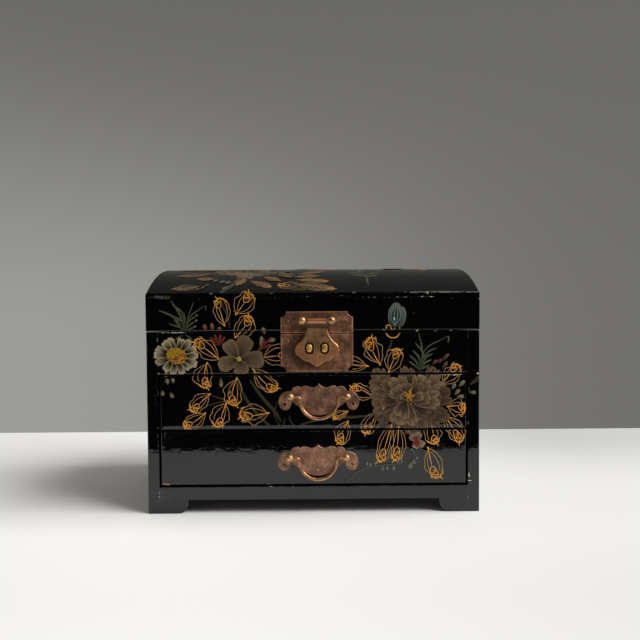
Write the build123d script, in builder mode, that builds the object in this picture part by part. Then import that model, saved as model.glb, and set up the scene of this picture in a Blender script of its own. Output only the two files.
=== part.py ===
from build123d import *
from math import sqrt
import os

# A black lacquer box: a case with two drawers under an open compartment, and a hinged lid
# with a curved top. Sizes are in millimetres. X runs along the front, Y from front to back
# and Z up. The origin is on the surface that the feet stand on, under the middle of the
# whole part with its fittings.

# Case
box_width = 305.0
box_depth = 200.0
side_thickness = 10.5
back_thickness = 8.0
frieze_height = 38.8
frieze_thickness = 10.0
apron_height = 12.0
apron_thickness = 10.0
bottom_thickness = 6.0
divider_thickness = 4.0
compartment_floor_thickness = 5.0
edge_round = 1.0

# Feet, cut from the bottom edges of the sides and aprons
foot_height = 12.5
foot_width = 27.0
foot_curve = 10.0

# Lid
lid_gap = 0.4
lid_wall_height = 28.4
lid_wall_thickness = 9.0
dome_rise = 30.8
top_board_thickness = 5.0
top_edge_round = 1.4
joint_chamfer = 0.4

# Drawers
drawer_front_height = 49.6
drawer_front_thickness = 12.0
drawer_side_thickness = 7.0
drawer_side_height = 40.0
drawer_bottom_thickness = 3.5
drawer_bottom_rise = 3.0
drawer_groove_depth = 3.0
drawer_edge_round = 1.3
reveal = 1.6
running_gap = 0.3
drawer_stop_gap = 0.5

# Fabric pads
pad_thickness = 2.0
pad_gap = 0.3

# Metal sheet of the lock and pull plates
plate_thickness = 1.0
plate_bevel = 0.3

# Round-headed nails
nail_head_radius = 1.2
nail_head_height = 0.6
nail_radius = 0.5
nail_length = 7.0

# Lock plates on the lid and on the frieze
lock_offset = 3.5
lock_plate_width = 66.0
lid_plate_height = 19.6
lid_plate_overhang = 2.0
plate_split = 0.9
case_plate_height = 34.4
plate_notch = 5.0
plate_nail_inset = 6.2

# Hasp, its hinge bar and the staples behind its slots
bar_height = 9.1
bar_standoff = 4.1
bar_length = 18.8
bar_radius = 2.1
bar_pin_radius = 1.0
bar_ball_radius = 3.45
bar_ball_spacing = 26.8
pin_clearance = 0.08
hasp_gap = 0.4
hasp_thickness = 3.0
hasp_bevel = 0.7
hasp_neck_half_width = 9.2
hasp_neck_drop = 6.0
hasp_shoulder_half_width = 17.4
hasp_shoulder_drop = 20.8
hasp_cusp_half_width = 15.2
hasp_cusp_drop = 32.7
hasp_lobe_half_width = 7.6
hasp_lobe_drop = 37.1
hasp_tip_drop = 42.0
hasp_neck_flare = 1.8
hasp_lobe_bulge = 1.0
staple_drop = 24.9
staple_spacing = 13.9
staple_width = 5.8
staple_height = 8.4
staple_round = 1.2
staple_leg_radius = 1.4
slot_margin = 1.3
groove_skin = 0.8
staple_tip_gap = 0.4

# Clinched ends of the staples and posts on the inside
clinch_length = 9.0
clinch_width = 2.4
clinch_thickness = 0.8

# Drawer pulls
upper_pull_offset = 5.0
lower_pull_offset = 3.8
upper_pull_rise = 5.2
lower_pull_rise = 0.7
post_spacing = 51.8
post_ball_radius = 3.15
post_standoff = 3.6
post_neck_radius = 1.4
bail_loop_radius = 17.0
bail_shoulder_radius = 3.0
bail_middle_radius = 1.6
bail_end_radius = 1.1
bail_pivot_depth = 1.6
pull_apex = 11.9
pull_top_edge = 8.3
pull_lobe_rise = 1.4
pull_body_half_width = 18.5
pull_body_rise = 9.3
pull_body_drop = 17.2
scroll_reach = 10.8
scroll_drop = 10.3
scroll_knob_width = 8.3
scroll_eye_offset = 5.3
scroll_eye_drop = 6.9
scroll_eye_radius = 1.2
pull_nail_top = 5.9
pull_nail_bottom = 11.7

# Butt hinges on the back
hinge_inset = 67.5
hinge_width = 32.0
hinge_leaf_height = 20.0
hinge_leaf_thickness = 1.2
hinge_leaf_round = 2.0
knuckle_radius = 2.6
knuckle_setback = 0.4
knuckle_gap = 0.3
hinge_pin_radius = 1.25
hinge_screw_spacing = 18.0
screw_head_radius = 2.2
screw_radius = 1.1
screw_length = 7.0
screw_slot_width = 0.6
screw_slot_depth = 0.4

# Places that follow from the sizes
half_width = box_width / 2
inner_half = half_width - side_thickness
apron_top = foot_height + apron_height
lower_front_bottom = apron_top + reveal
lower_front_top = lower_front_bottom + drawer_front_height
divider_top = lower_front_top
upper_front_bottom = divider_top + reveal
frieze_bottom = upper_front_bottom + drawer_front_height + reveal
compartment_floor_top = frieze_bottom + compartment_floor_thickness
case_top = frieze_bottom + frieze_height
lid_bottom = case_top + lid_gap
lid_joint = lid_bottom + lid_wall_height
hinge_height = case_top + lid_gap / 2

bar_reach = plate_thickness + bar_standoff + bar_ball_radius
pull_reach = plate_thickness + post_standoff + post_ball_radius
front_reach = max(bar_reach, pull_reach)
hinge_axis_setback = knuckle_radius + knuckle_setback
rear_reach = hinge_axis_setback + knuckle_radius
front_y = (front_reach - rear_reach - box_depth) / 2
back_y = front_y + box_depth
middle_y = (front_y + back_y) / 2
drawer_front_back = front_y + drawer_front_thickness
drawer_end = back_y - back_thickness - drawer_stop_gap
frieze_back = front_y + frieze_thickness
lid_front_back = front_y + lid_wall_thickness
plate_front = front_y - plate_thickness
hinge_y = back_y + hinge_axis_setback

# The dome is an arc from front to back, and its board has the same centre inside and out
half_depth = box_depth / 2
dome_inner_radius = (half_depth**2 + dome_rise**2) / (2 * dome_rise)
dome_outer_radius = dome_inner_radius + top_board_thickness
dome_centre = lid_joint + dome_rise - dome_inner_radius

lid_plate_bottom = hinge_height - lid_plate_overhang
lid_plate_top = lid_plate_bottom + lid_plate_height
case_plate_top = lid_plate_bottom - plate_split
case_plate_bottom = case_plate_top - case_plate_height
bar_z = hinge_height + bar_height
bar_y = plate_front - bar_standoff
hasp_back = plate_front - hasp_gap
hasp_front = hasp_back - hasp_thickness
groove_floor = hasp_front + groove_skin
staple_tip = groove_floor + staple_tip_gap
staple_z = bar_z - staple_drop
slot_width = staple_width + 2 * slot_margin
slot_height = staple_height + 2 * slot_margin
plate_nail_x = lock_plate_width / 2 - plate_nail_inset
staple_places = [lock_offset - staple_spacing / 2, lock_offset + staple_spacing / 2]
bar_ball_places = [lock_offset - bar_ball_spacing / 2, lock_offset + bar_ball_spacing / 2]
lid_nail_places = [(lock_offset - plate_nail_x, bar_z), (lock_offset + plate_nail_x, bar_z)]
case_nail_places = [
    (lock_offset + side * plate_nail_x, height)
    for side in (-1, 1)
    for height in (case_plate_bottom + plate_nail_inset, case_plate_top - plate_nail_inset)
]
hinge_places = {"left": hinge_inset - half_width, "right": half_width - hinge_inset}


def at_depth(y):
    """A plane that faces the front at the given depth, with X across it and Z up it."""
    return Plane.XZ.offset(-y)


def dome_height(y, radius):
    """Height of an arc of the dome at a depth."""
    return dome_centre + sqrt(radius**2 - (y - middle_y) ** 2)


def keep(piece, name):
    """Label a finished piece and write it under its own name."""
    piece.part.label = name
    export_step(piece.part, f"parts/{name}.step")


def slab(x, y, z, mode=Mode.ADD):
    """A rectangular block between three pairs of planes."""
    with Locations((x[0], y[0], z[0])):
        Box(x[1] - x[0], y[1] - y[0], z[1] - z[0], align=(Align.MIN,) * 3, mode=mode)


def rod(x, y, z, radius, mode=Mode.ADD):
    """A round bar along Y between two depths."""
    with Locations((x, (y[0] + y[1]) / 2, z)):
        Cylinder(radius, abs(y[1] - y[0]), rotation=(90, 0, 0), mode=mode)


def cross_rod(x, y, z, radius, mode=Mode.ADD):
    """A round bar along X between two places."""
    with Locations(((x[0] + x[1]) / 2, y, z)):
        Cylinder(radius, abs(x[1] - x[0]), rotation=(0, 90, 0), mode=mode)


def gap_between_feet(half_length):
    """Cut the low opening between two feet, each with a rounded inner corner."""
    foot_end = half_length - foot_width
    foot_wall = foot_end - foot_curve
    with BuildLine() as outline:
        Line((0, 0), (foot_end, 0))
        CenterArc((foot_end, foot_curve), foot_curve, 180, 90)
        Line((foot_wall, foot_curve), (foot_wall, foot_height))
        Line((foot_wall, foot_height), (0, foot_height))
        mirror(about=Plane.YZ)
    make_face(outline.edges(), mode=Mode.SUBTRACT)


def nail_holes(places, surface, depth):
    """Holes for nails driven in from the front at the given surface."""
    for x, z in places:
        rod(x, (surface, surface + depth), z, nail_radius, Mode.SUBTRACT)


def nails(places, surface, name):
    """Round-headed nails whose heads sit on a surface and whose points go back into the wood."""
    with BuildPart() as group:
        for x, z in places:
            rod(x, (surface, surface + nail_length), z, nail_radius)
            rod(x, (surface - nail_head_height, surface), z, nail_head_radius)
        heads = group.edges().filter_by(GeomType.CIRCLE).group_by(Axis.Y)[0]
        fillet(heads, nail_head_height * 0.8)
    keep(group, name)


def clinched_leg(x, z, start, inside, radius):
    """A leg that runs back through the wood and is bent flat against the inside."""
    rod(x, (start, inside + clinch_thickness), z, radius)
    slab(
        (x - clinch_length / 2, x + clinch_length / 2),
        (inside, inside + clinch_thickness),
        (z - clinch_width / 2, z + clinch_width / 2),
    )


def ball_post(x, y, z, ball_radius, inside):
    """A ball-headed post, clinched behind the wood."""
    with Locations((x, y, z)):
        Sphere(ball_radius, rotation=(0, 0, 45))
    clinched_leg(x, z, y, inside, post_neck_radius)


def leg_holes(places, z, y, radius):
    """Holes for clinched legs, right through a board or plate."""
    for x in places:
        rod(x, y, z, radius, Mode.SUBTRACT)


def side_panel(side, name):
    """A side of the case: one board from the floor to the parting line, cut away between its feet."""
    outer = side * half_width
    inward = Plane(origin=(outer, middle_y, 0), x_dir=(0, 1, 0), z_dir=(1, 0, 0))
    with BuildPart() as panel:
        with BuildSketch(inward):
            with Locations((0, case_top / 2)):
                Rectangle(box_depth, case_top)
            gap_between_feet(half_depth)
        extrude(amount=-side * side_thickness)
        outer_edges = panel.faces().sort_by(Axis.X)[0 if side < 0 else -1].edges()
        front_top = panel.edges().filter_by(Axis.X).group_by(Axis.Y)[0].sort_by(Axis.Z)[-1]
        fillet(outer_edges + [front_top], edge_round)
    keep(panel, name)


def apron(y, name):
    """A low board between the sides, cut to leave the front or back halves of the feet."""
    with BuildPart() as board:
        with BuildSketch(at_depth(y)):
            with Locations((0, apron_top / 2)):
                Rectangle(2 * inner_half, apron_top)
            gap_between_feet(half_width)
        extrude(amount=-apron_thickness)
    keep(board, name)


def make_case():
    """The boards of the case."""
    side_panel(-1, "side_panel_left")
    side_panel(1, "side_panel_right")
    apron(front_y, "front_apron")
    apron(back_y - apron_thickness, "rear_apron")

    with BuildPart() as back_panel:
        slab((-inner_half, inner_half), (back_y - back_thickness, back_y), (apron_top, case_top))
        for x in hinge_places.values():
            screw_holes(x, hinge_height - hinge_leaf_height / 2)
    keep(back_panel, "back_panel")

    with BuildPart() as bottom_board:
        inside_aprons = (front_y + apron_thickness, back_y - apron_thickness)
        slab((-inner_half, inner_half), inside_aprons, (apron_top - bottom_thickness, apron_top))
    keep(bottom_board, "bottom_board")

    with BuildPart() as drawer_divider:
        behind_front = (drawer_front_back + running_gap, back_y - back_thickness)
        slab((-inner_half, inner_half), behind_front, (divider_top - divider_thickness, divider_top))
    keep(drawer_divider, "drawer_divider")

    with BuildPart() as frieze_panel:
        slab((-inner_half, inner_half), (front_y, frieze_back), (frieze_bottom, case_top))
        fillet(frieze_panel.edges().filter_by(Axis.X).group_by(Axis.Y)[0], edge_round)
        leg_holes(staple_places, staple_z, (front_y, frieze_back), staple_leg_radius)
        nail_holes(case_nail_places, front_y, nail_length - plate_thickness)
    keep(frieze_panel, "frieze_panel")

    with BuildPart() as compartment_floor:
        behind_frieze = (frieze_back, back_y - back_thickness)
        slab((-inner_half, inner_half), behind_frieze, (frieze_bottom, compartment_floor_top))
    keep(compartment_floor, "compartment_floor")

    with BuildPart() as compartment_pad:
        slab(
            (-inner_half + pad_gap, inner_half - pad_gap),
            (frieze_back + pad_gap, back_y - back_thickness - pad_gap),
            (compartment_floor_top + pad_gap, compartment_floor_top + pad_gap + pad_thickness),
        )
    keep(compartment_pad, "compartment_pad")


def lid_wall(y, name, holes):
    """A long wall of the lid, whose top edge follows the underside of the curved board."""
    y0, y1 = y
    front = y0 < middle_y
    with BuildPart() as wall:
        with BuildSketch(Plane.YZ.offset(-half_width)):
            with BuildLine():
                Polyline(
                    (y0, dome_height(y0, dome_inner_radius)),
                    (y0, lid_bottom),
                    (y1, lid_bottom),
                    (y1, dome_height(y1, dome_inner_radius)),
                )
                ThreePointArc(
                    (y0, dome_height(y0, dome_inner_radius)),
                    ((y0 + y1) / 2, dome_height((y0 + y1) / 2, dome_inner_radius)),
                    (y1, dome_height(y1, dome_inner_radius)),
                )
            make_face()
        extrude(amount=box_width)
        outer_edges = wall.edges().filter_by(Axis.X).group_by(Axis.Y)[0 if front else -1]
        fillet(outer_edges.sort_by(Axis.Z)[0], edge_round)
        chamfer(outer_edges.sort_by(Axis.Z)[-1], joint_chamfer)
        holes()
    keep(wall, name)


def lid_front_holes():
    """Holes for the lock plate's nails and for the posts of the hasp's hinge bar."""
    leg_holes(bar_ball_places, bar_z, (front_y, lid_front_back), post_neck_radius)
    nail_holes(lid_nail_places, front_y, nail_length - plate_thickness)


def lid_back_holes():
    """Holes for the screws of the upper hinge leaves."""
    for x in hinge_places.values():
        screw_holes(x, hinge_height + hinge_leaf_height / 2)


def lid_end(side, name):
    """An end of the lid, between its long walls, arched on top."""
    y0 = front_y + lid_wall_thickness
    y1 = back_y - lid_wall_thickness
    with BuildPart() as end:
        with BuildSketch(Plane.YZ.offset(side * half_width)):
            with BuildLine():
                Polyline(
                    (y0, dome_height(y0, dome_inner_radius)),
                    (y0, lid_bottom),
                    (y1, lid_bottom),
                    (y1, dome_height(y1, dome_inner_radius)),
                )
                ThreePointArc(
                    (y0, dome_height(y0, dome_inner_radius)),
                    (middle_y, dome_height(middle_y, dome_inner_radius)),
                    (y1, dome_height(y1, dome_inner_radius)),
                )
            make_face()
        extrude(amount=-side * lid_wall_thickness)
    keep(end, name)


def make_lid():
    """The four walls of the lid and its curved top board."""
    lid_wall((front_y, lid_front_back), "lid_front_panel", lid_front_holes)
    lid_wall((back_y - lid_wall_thickness, back_y), "lid_back_panel", lid_back_holes)
    lid_end(-1, "lid_end_left")
    lid_end(1, "lid_end_right")

    with BuildPart() as lid_top_board:
        with BuildSketch(Plane.YZ.offset(-half_width)):
            with BuildLine():
                ThreePointArc(
                    (front_y, dome_height(front_y, dome_outer_radius)),
                    (middle_y, dome_height(middle_y, dome_outer_radius)),
                    (back_y, dome_height(back_y, dome_outer_radius)),
                )
                ThreePointArc(
                    (front_y, lid_joint),
                    (middle_y, dome_height(middle_y, dome_inner_radius)),
                    (back_y, lid_joint),
                )
                for y in (front_y, back_y):
                    Line((y, lid_joint), (y, dome_height(y, dome_outer_radius)))
            make_face()
        extrude(amount=box_width)
        long_edges = lid_top_board.edges().filter_by(Axis.X)
        upper_edges = long_edges.group_by(Axis.Z)[-1]
        lower_edges = long_edges.group_by(Axis.Z)[0]
        outer_arc = lid_top_board.faces().sort_by(Axis.Z)[-1]
        fillet(upper_edges + outer_arc.edges().filter_by(GeomType.CIRCLE), top_edge_round)
        chamfer(lower_edges, joint_chamfer)
    keep(lid_top_board, "lid_top_board")


def make_lock():
    """The lock plates, the staples, the hinge bar and the hasp."""
    left = lock_offset - lock_plate_width / 2
    right = lock_offset + lock_plate_width / 2

    with BuildPart() as lid_lock_plate:
        with BuildSketch(at_depth(front_y)):
            with Locations((lock_offset, (lid_plate_bottom + lid_plate_top) / 2)):
                Rectangle(lock_plate_width, lid_plate_height)
            with Locations((left, lid_plate_top), (right, lid_plate_top)):
                Circle(plate_notch, mode=Mode.SUBTRACT)
        extrude(amount=plate_thickness)
        chamfer(lid_lock_plate.faces().sort_by(Axis.Y)[0].edges(), plate_bevel)
        leg_holes(bar_ball_places, bar_z, (plate_front, front_y), post_neck_radius)
        nail_holes(lid_nail_places, plate_front, plate_thickness)
    keep(lid_lock_plate, "lid_lock_plate")

    with BuildPart() as case_lock_plate:
        with BuildSketch(at_depth(front_y)):
            with Locations((lock_offset, (case_plate_bottom + case_plate_top) / 2)):
                Rectangle(lock_plate_width, case_plate_height)
            with Locations((left, case_plate_bottom), (right, case_plate_bottom)):
                Circle(plate_notch, mode=Mode.SUBTRACT)
        extrude(amount=plate_thickness)
        chamfer(case_lock_plate.faces().sort_by(Axis.Y)[0].edges(), plate_bevel)
        leg_holes(staple_places, staple_z, (plate_front, front_y), staple_leg_radius)
        nail_holes(case_nail_places, plate_front, plate_thickness)
    keep(case_lock_plate, "case_lock_plate")

    nails(lid_nail_places, plate_front, "lid_plate_nails")
    nails(case_nail_places, plate_front, "case_plate_nails")

    with BuildPart() as lock_staples:
        with BuildSketch(at_depth(plate_front)):
            with Locations(*[(x, staple_z) for x in staple_places]):
                SlotOverall(staple_height, staple_width, rotation=90)
        extrude(amount=plate_front - staple_tip)
        fillet(lock_staples.faces().group_by(Axis.Y)[0].edges(), staple_round)
        for x in staple_places:
            clinched_leg(x, staple_z, plate_front, frieze_back, staple_leg_radius)
    keep(lock_staples, "lock_staples")

    with BuildPart() as hasp_bar_posts:
        for x in bar_ball_places:
            ball_post(x, bar_y, bar_z, bar_ball_radius, lid_front_back)
        cross_rod(bar_ball_places, bar_y, bar_z, bar_pin_radius + pin_clearance, Mode.SUBTRACT)
    keep(hasp_bar_posts, "hasp_bar_posts")

    with BuildPart() as hasp_bar_pin:
        cross_rod(bar_ball_places, bar_y, bar_z, bar_pin_radius)
    keep(hasp_bar_pin, "hasp_bar_pin")

    make_hasp()


def make_hasp():
    """The hasp: a barrel on the bar's pin, a sloping neck and a lobed leaf with two slots."""
    neck = (hasp_neck_half_width, -hasp_neck_drop)
    shoulder = (hasp_shoulder_half_width, -hasp_shoulder_drop)
    cusp = (hasp_cusp_half_width, -hasp_cusp_drop)
    lobe = (hasp_lobe_half_width, -hasp_lobe_drop)
    tip = (0, -hasp_tip_drop)
    hanging = Plane(origin=(lock_offset, hasp_back, bar_z), x_dir=(1, 0, 0), z_dir=(0, -1, 0))
    with BuildPart() as hasp:
        with BuildSketch(hanging):
            with BuildLine():
                Line((0, -hasp_neck_drop), neck)
                flare = SagittaArc(neck, shoulder, -hasp_neck_flare)
                TangentArc(flare @ 1, cusp, tangent=flare % 1)
                SagittaArc(cusp, lobe, hasp_lobe_bulge)
                Line(lobe, tip)
                mirror(about=Plane.YZ)
            make_face()
        extrude(amount=hasp_thickness)
        chamfer(hasp.faces().sort_by(Axis.Y)[0].edges(), hasp_bevel)
        with BuildSketch(hanging):
            with GridLocations(staple_spacing, 0, 2, 1):
                with Locations((0, -staple_drop)):
                    SlotOverall(slot_height, slot_width, rotation=90)
        extrude(amount=hasp_thickness, mode=Mode.SUBTRACT)
        with BuildSketch(hanging):
            with GridLocations(staple_spacing, 0, 2, 1):
                with Locations((0, -(staple_drop + hasp_tip_drop) / 2)):
                    Rectangle(slot_width, hasp_tip_drop - staple_drop)
        extrude(amount=hasp_back - groove_floor, mode=Mode.SUBTRACT)
        with BuildSketch(Plane.YZ.offset(lock_offset)):
            neck_bottom = bar_z - hasp_neck_drop - hasp_thickness
            Polygon(
                (bar_y - bar_radius * 0.8, bar_z - bar_radius / 2),
                (bar_y + bar_radius * 0.8, bar_z - bar_radius / 2),
                (hasp_back, bar_z - hasp_neck_drop),
                (hasp_back, neck_bottom),
                (hasp_front + hasp_bevel, neck_bottom),
                (hasp_front + hasp_bevel, bar_z - hasp_neck_drop),
                align=None,
            )
        extrude(amount=hasp_neck_half_width, both=True)
        barrel = (lock_offset - bar_length / 2, lock_offset + bar_length / 2)
        cross_rod(barrel, bar_y, bar_z, bar_radius)
        cross_rod(barrel, bar_y, bar_z, bar_pin_radius + pin_clearance, Mode.SUBTRACT)
    keep(hasp, "hasp")


def screw_places(x, z):
    """The two screws of one hinge leaf."""
    return [(x - hinge_screw_spacing / 2, z), (x + hinge_screw_spacing / 2, z)]


def screw_holes(x, z):
    """Pilot holes for the screws of one hinge leaf, from the back."""
    for place, height in screw_places(x, z):
        depth = (back_y - screw_length + hinge_leaf_thickness, back_y)
        rod(place, depth, height, screw_radius, Mode.SUBTRACT)


def screws(z, name):
    """Countersunk screws that hold both leaves of a row to the wood."""
    head_y = back_y + hinge_leaf_thickness
    with BuildPart() as group:
        for x in hinge_places.values():
            for place, height in screw_places(x, z):
                rod(place, (head_y - screw_length, head_y), height, screw_radius)
                with Locations(Location((place, head_y - hinge_leaf_thickness / 2, height), (90, 0, 0))):
                    Cone(screw_head_radius, screw_radius, hinge_leaf_thickness)
                slab(
                    (place - screw_head_radius, place + screw_head_radius),
                    (head_y - screw_slot_depth, head_y),
                    (height - screw_slot_width / 2, height + screw_slot_width / 2),
                    Mode.SUBTRACT,
                )
    keep(group, name)


def hinge_leaf(x, upward, name):
    """One leaf of a butt hinge: the lid's has the middle knuckle, the case's the outer two."""
    direction = 1 if upward else -1
    knuckle_length = (hinge_width - 2 * knuckle_gap) / 3
    middle_half = knuckle_length / 2
    leaf_back = back_y + hinge_leaf_thickness
    leaf_middle = hinge_height + direction * hinge_leaf_height / 2
    leaf_edge = hinge_height + direction * lid_gap / 2
    leaf_end = hinge_height + direction * hinge_leaf_height
    clear_end = hinge_height + direction * (knuckle_radius + knuckle_gap)
    middle = (x - middle_half, x + middle_half)
    outer_left = (x - hinge_width / 2, x - middle_half - knuckle_gap)
    outer_right = (x + middle_half + knuckle_gap, x + hinge_width / 2)
    own = [middle] if upward else [outer_left, outer_right]
    if upward:
        others = [
            (outer_left[0], middle[0]),
            (middle[1], outer_right[1]),
        ]
    else:
        others = [(outer_left[1], outer_right[0])]
    with BuildPart() as leaf:
        leaf_span = sorted((leaf_edge, leaf_end))
        slab((x - hinge_width / 2, x + hinge_width / 2), (back_y, leaf_back), leaf_span)
        far_corners = leaf.edges().filter_by(Axis.Y).group_by(Axis.Z)[-1 if upward else 0]
        fillet(far_corners, hinge_leaf_round)
        for place, height in screw_places(x, leaf_middle):
            with Locations(Location((place, (back_y + leaf_back) / 2, height), (90, 0, 0))):
                Cone(screw_head_radius, screw_radius, hinge_leaf_thickness, mode=Mode.SUBTRACT)
        for span in others:
            slab(span, (back_y, leaf_back), sorted((leaf_edge, clear_end)), Mode.SUBTRACT)
        for span in own:
            cross_rod(span, hinge_y, hinge_height, knuckle_radius)
        bore = hinge_pin_radius + (pin_clearance if upward else 0)
        cross_rod((outer_left[0], outer_right[1]), hinge_y, hinge_height, bore, Mode.SUBTRACT)
    keep(leaf, name)


def make_hinges():
    """Two surface hinges on the back, with their pins and screws."""
    for side, x in hinge_places.items():
        hinge_leaf(x, False, f"case_hinge_leaf_{side}")
        hinge_leaf(x, True, f"lid_hinge_leaf_{side}")
        with BuildPart() as hinge_pin:
            cross_rod((x - hinge_width / 2, x + hinge_width / 2), hinge_y, hinge_height, hinge_pin_radius)
        keep(hinge_pin, f"hinge_pin_{side}")
    screws(hinge_height - hinge_leaf_height / 2, "case_hinge_screws")
    screws(hinge_height + hinge_leaf_height / 2, "lid_hinge_screws")


def pull_plate(x, z, name):
    """A bat-shaped back plate: a lobed top edge, a curled scroll at each end and a round body."""
    post = post_spacing / 2
    lobe_top = pull_top_edge + pull_lobe_rise
    apex = (0, pull_apex)
    lobe_end = (0.63 * post, pull_top_edge)
    wing_start = (0.98 * post, 0.58 * pull_top_edge)
    wing_middle = (post + 0.71 * scroll_reach, 0.35 * pull_top_edge)
    wing_end = (post + scroll_reach, -0.2 * scroll_drop)
    knob_outside = (post + 0.86 * scroll_reach, -scroll_drop)
    knob_inside = (knob_outside[0] - scroll_knob_width, -scroll_drop)
    hook = (post - 0.7, -0.43 * scroll_drop)
    body_side = (pull_body_half_width, -pull_body_rise)
    eye = (post + scroll_eye_offset, -scroll_eye_drop)
    with BuildPart() as plate:
        with BuildSketch(Plane(origin=(x, front_y, z), x_dir=(1, 0, 0), z_dir=(0, -1, 0))):
            with BuildLine():
                Spline(
                    apex,
                    (0.09 * post, (pull_apex + 2 * pull_top_edge) / 3),
                    (0.23 * post, pull_top_edge),
                    (0.43 * post, lobe_top),
                    lobe_end,
                )
                SagittaArc(lobe_end, wing_start, 2 * pull_lobe_rise)
                wing = ThreePointArc(wing_start, wing_middle, wing_end)
                strap = TangentArc(wing @ 1, knob_outside, tangent=wing % 1)
                knob = TangentArc(strap @ 1, knob_inside, tangent=strap % 1)
                inner_edge = TangentArc(knob @ 1, hook, tangent=knob % 1)
                Line(inner_edge @ 1, body_side)
                TangentArc((0, -pull_body_drop), body_side, tangent=(1, 0))
                mirror(about=Plane.YZ)
            make_face()
            with Locations(eye, (-eye[0], eye[1])):
                Circle(scroll_eye_radius, mode=Mode.SUBTRACT)
        extrude(amount=plate_thickness)
        chamfer(plate.faces().sort_by(Axis.Y)[0].edges(), plate_bevel)
        leg_holes(post_places(x), z, (plate_front, front_y), post_neck_radius)
        nail_holes(pull_nail_places(x, z), plate_front, plate_thickness)
    keep(plate, name)


def post_places(x):
    """The two posts of a pull."""
    return [x - post_spacing / 2, x + post_spacing / 2]


def pull_nail_places(x, z):
    """The two nails of a pull's back plate."""
    return [(x, z + pull_nail_top), (x, z - pull_nail_bottom)]


def bail(x, z, name):
    """A swinging handle: a round loop that thins towards the S-shaped shoulders and the pivots."""
    pivot_y = plate_front - post_standoff
    shoulder_x = bail_loop_radius + bail_shoulder_radius
    grip_end = post_spacing / 2 - post_ball_radius
    pivot_end = post_spacing / 2 + bail_pivot_depth
    hanging = Plane(origin=(x, pivot_y, z), x_dir=(1, 0, 0), z_dir=(0, -1, 0))
    with BuildPart() as handle:
        with BuildLine(hanging) as path:
            Line((-grip_end, 0), (-shoulder_x, 0))
            CenterArc((-shoulder_x, -bail_shoulder_radius), bail_shoulder_radius, 90, -90)
            CenterArc((0, -bail_shoulder_radius), bail_loop_radius, 180, 180)
            CenterArc((shoulder_x, -bail_shoulder_radius), bail_shoulder_radius, 180, -90)
            Line((shoulder_x, 0), (grip_end, 0))
        wire = path.wires()[0]
        for place, radius in ((0, bail_end_radius), (0.5, bail_middle_radius), (1, bail_end_radius)):
            with BuildSketch(Plane(origin=wire @ place, z_dir=wire % place)):
                Circle(radius)
        sweep(path=wire, multisection=True)
        for side in (-1, 1):
            cross_rod((x + side * pivot_end, x + side * grip_end), pivot_y, z, bail_end_radius)
    keep(handle, name)


def make_drawer(prefix, front_bottom, support, pull_x, pull_rise):
    """One drawer: five boards, a pad and the pull on its front."""
    front_top = front_bottom + drawer_front_height
    half = inner_half - reveal
    inner = half - drawer_side_thickness
    side_bottom = support + running_gap
    side_top = side_bottom + drawer_side_height
    bottom_z = (side_bottom + drawer_bottom_rise, side_bottom + drawer_bottom_rise + drawer_bottom_thickness)
    back_start = drawer_end - drawer_side_thickness
    groove_half = inner + drawer_groove_depth
    groove = ((-groove_half, groove_half), (drawer_front_back - drawer_groove_depth, back_start), bottom_z)
    pull_z = (front_bottom + front_top) / 2 + pull_rise
    pivot_y = plate_front - post_standoff

    with BuildPart() as drawer_front:
        slab((-half, half), (front_y, drawer_front_back), (front_bottom, front_top))
        fillet(drawer_front.faces().sort_by(Axis.Y)[0].edges(), drawer_edge_round)
        slab(*groove, Mode.SUBTRACT)
        leg_holes(post_places(pull_x), pull_z, (front_y, drawer_front_back), post_neck_radius)
        nail_holes(pull_nail_places(pull_x, pull_z), front_y, nail_length - plate_thickness)
    keep(drawer_front, f"{prefix}_front")

    for side, label in ((-1, "left"), (1, "right")):
        with BuildPart() as drawer_side:
            across = sorted((side * inner, side * half))
            slab(across, (drawer_front_back, drawer_end), (side_bottom, side_top))
            slab(*groove, Mode.SUBTRACT)
        keep(drawer_side, f"{prefix}_side_{label}")

    with BuildPart() as drawer_back:
        slab((-inner, inner), (back_start, drawer_end), (bottom_z[0], side_top))
    keep(drawer_back, f"{prefix}_back")

    with BuildPart() as drawer_bottom:
        slab(*groove)
    keep(drawer_bottom, f"{prefix}_bottom")

    with BuildPart() as drawer_pad:
        slab(
            (-inner + pad_gap, inner - pad_gap),
            (drawer_front_back + pad_gap, back_start - pad_gap),
            (bottom_z[1] + pad_gap, bottom_z[1] + pad_gap + pad_thickness),
        )
    keep(drawer_pad, f"{prefix}_pad")

    pull_plate(pull_x, pull_z, f"{prefix}_pull_plate")
    nails(pull_nail_places(pull_x, pull_z), plate_front, f"{prefix}_pull_nails")

    with BuildPart() as pull_posts:
        for x in post_places(pull_x):
            ball_post(x, pivot_y, pull_z, post_ball_radius, drawer_front_back)
        pivot_half = post_spacing / 2 + bail_pivot_depth + running_gap
        pivot_holes = (pull_x - pivot_half, pull_x + pivot_half)
        cross_rod(pivot_holes, pivot_y, pull_z, bail_end_radius + pin_clearance, Mode.SUBTRACT)
    keep(pull_posts, f"{prefix}_pull_posts")

    bail(pull_x, pull_z, f"{prefix}_bail")


os.makedirs("parts", exist_ok=True)
make_case()
make_lid()
make_lock()
make_hinges()
make_drawer("upper_drawer", upper_front_bottom, divider_top, upper_pull_offset, upper_pull_rise)
make_drawer("lower_drawer", lower_front_bottom, apron_top, lower_pull_offset, lower_pull_rise)
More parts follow.
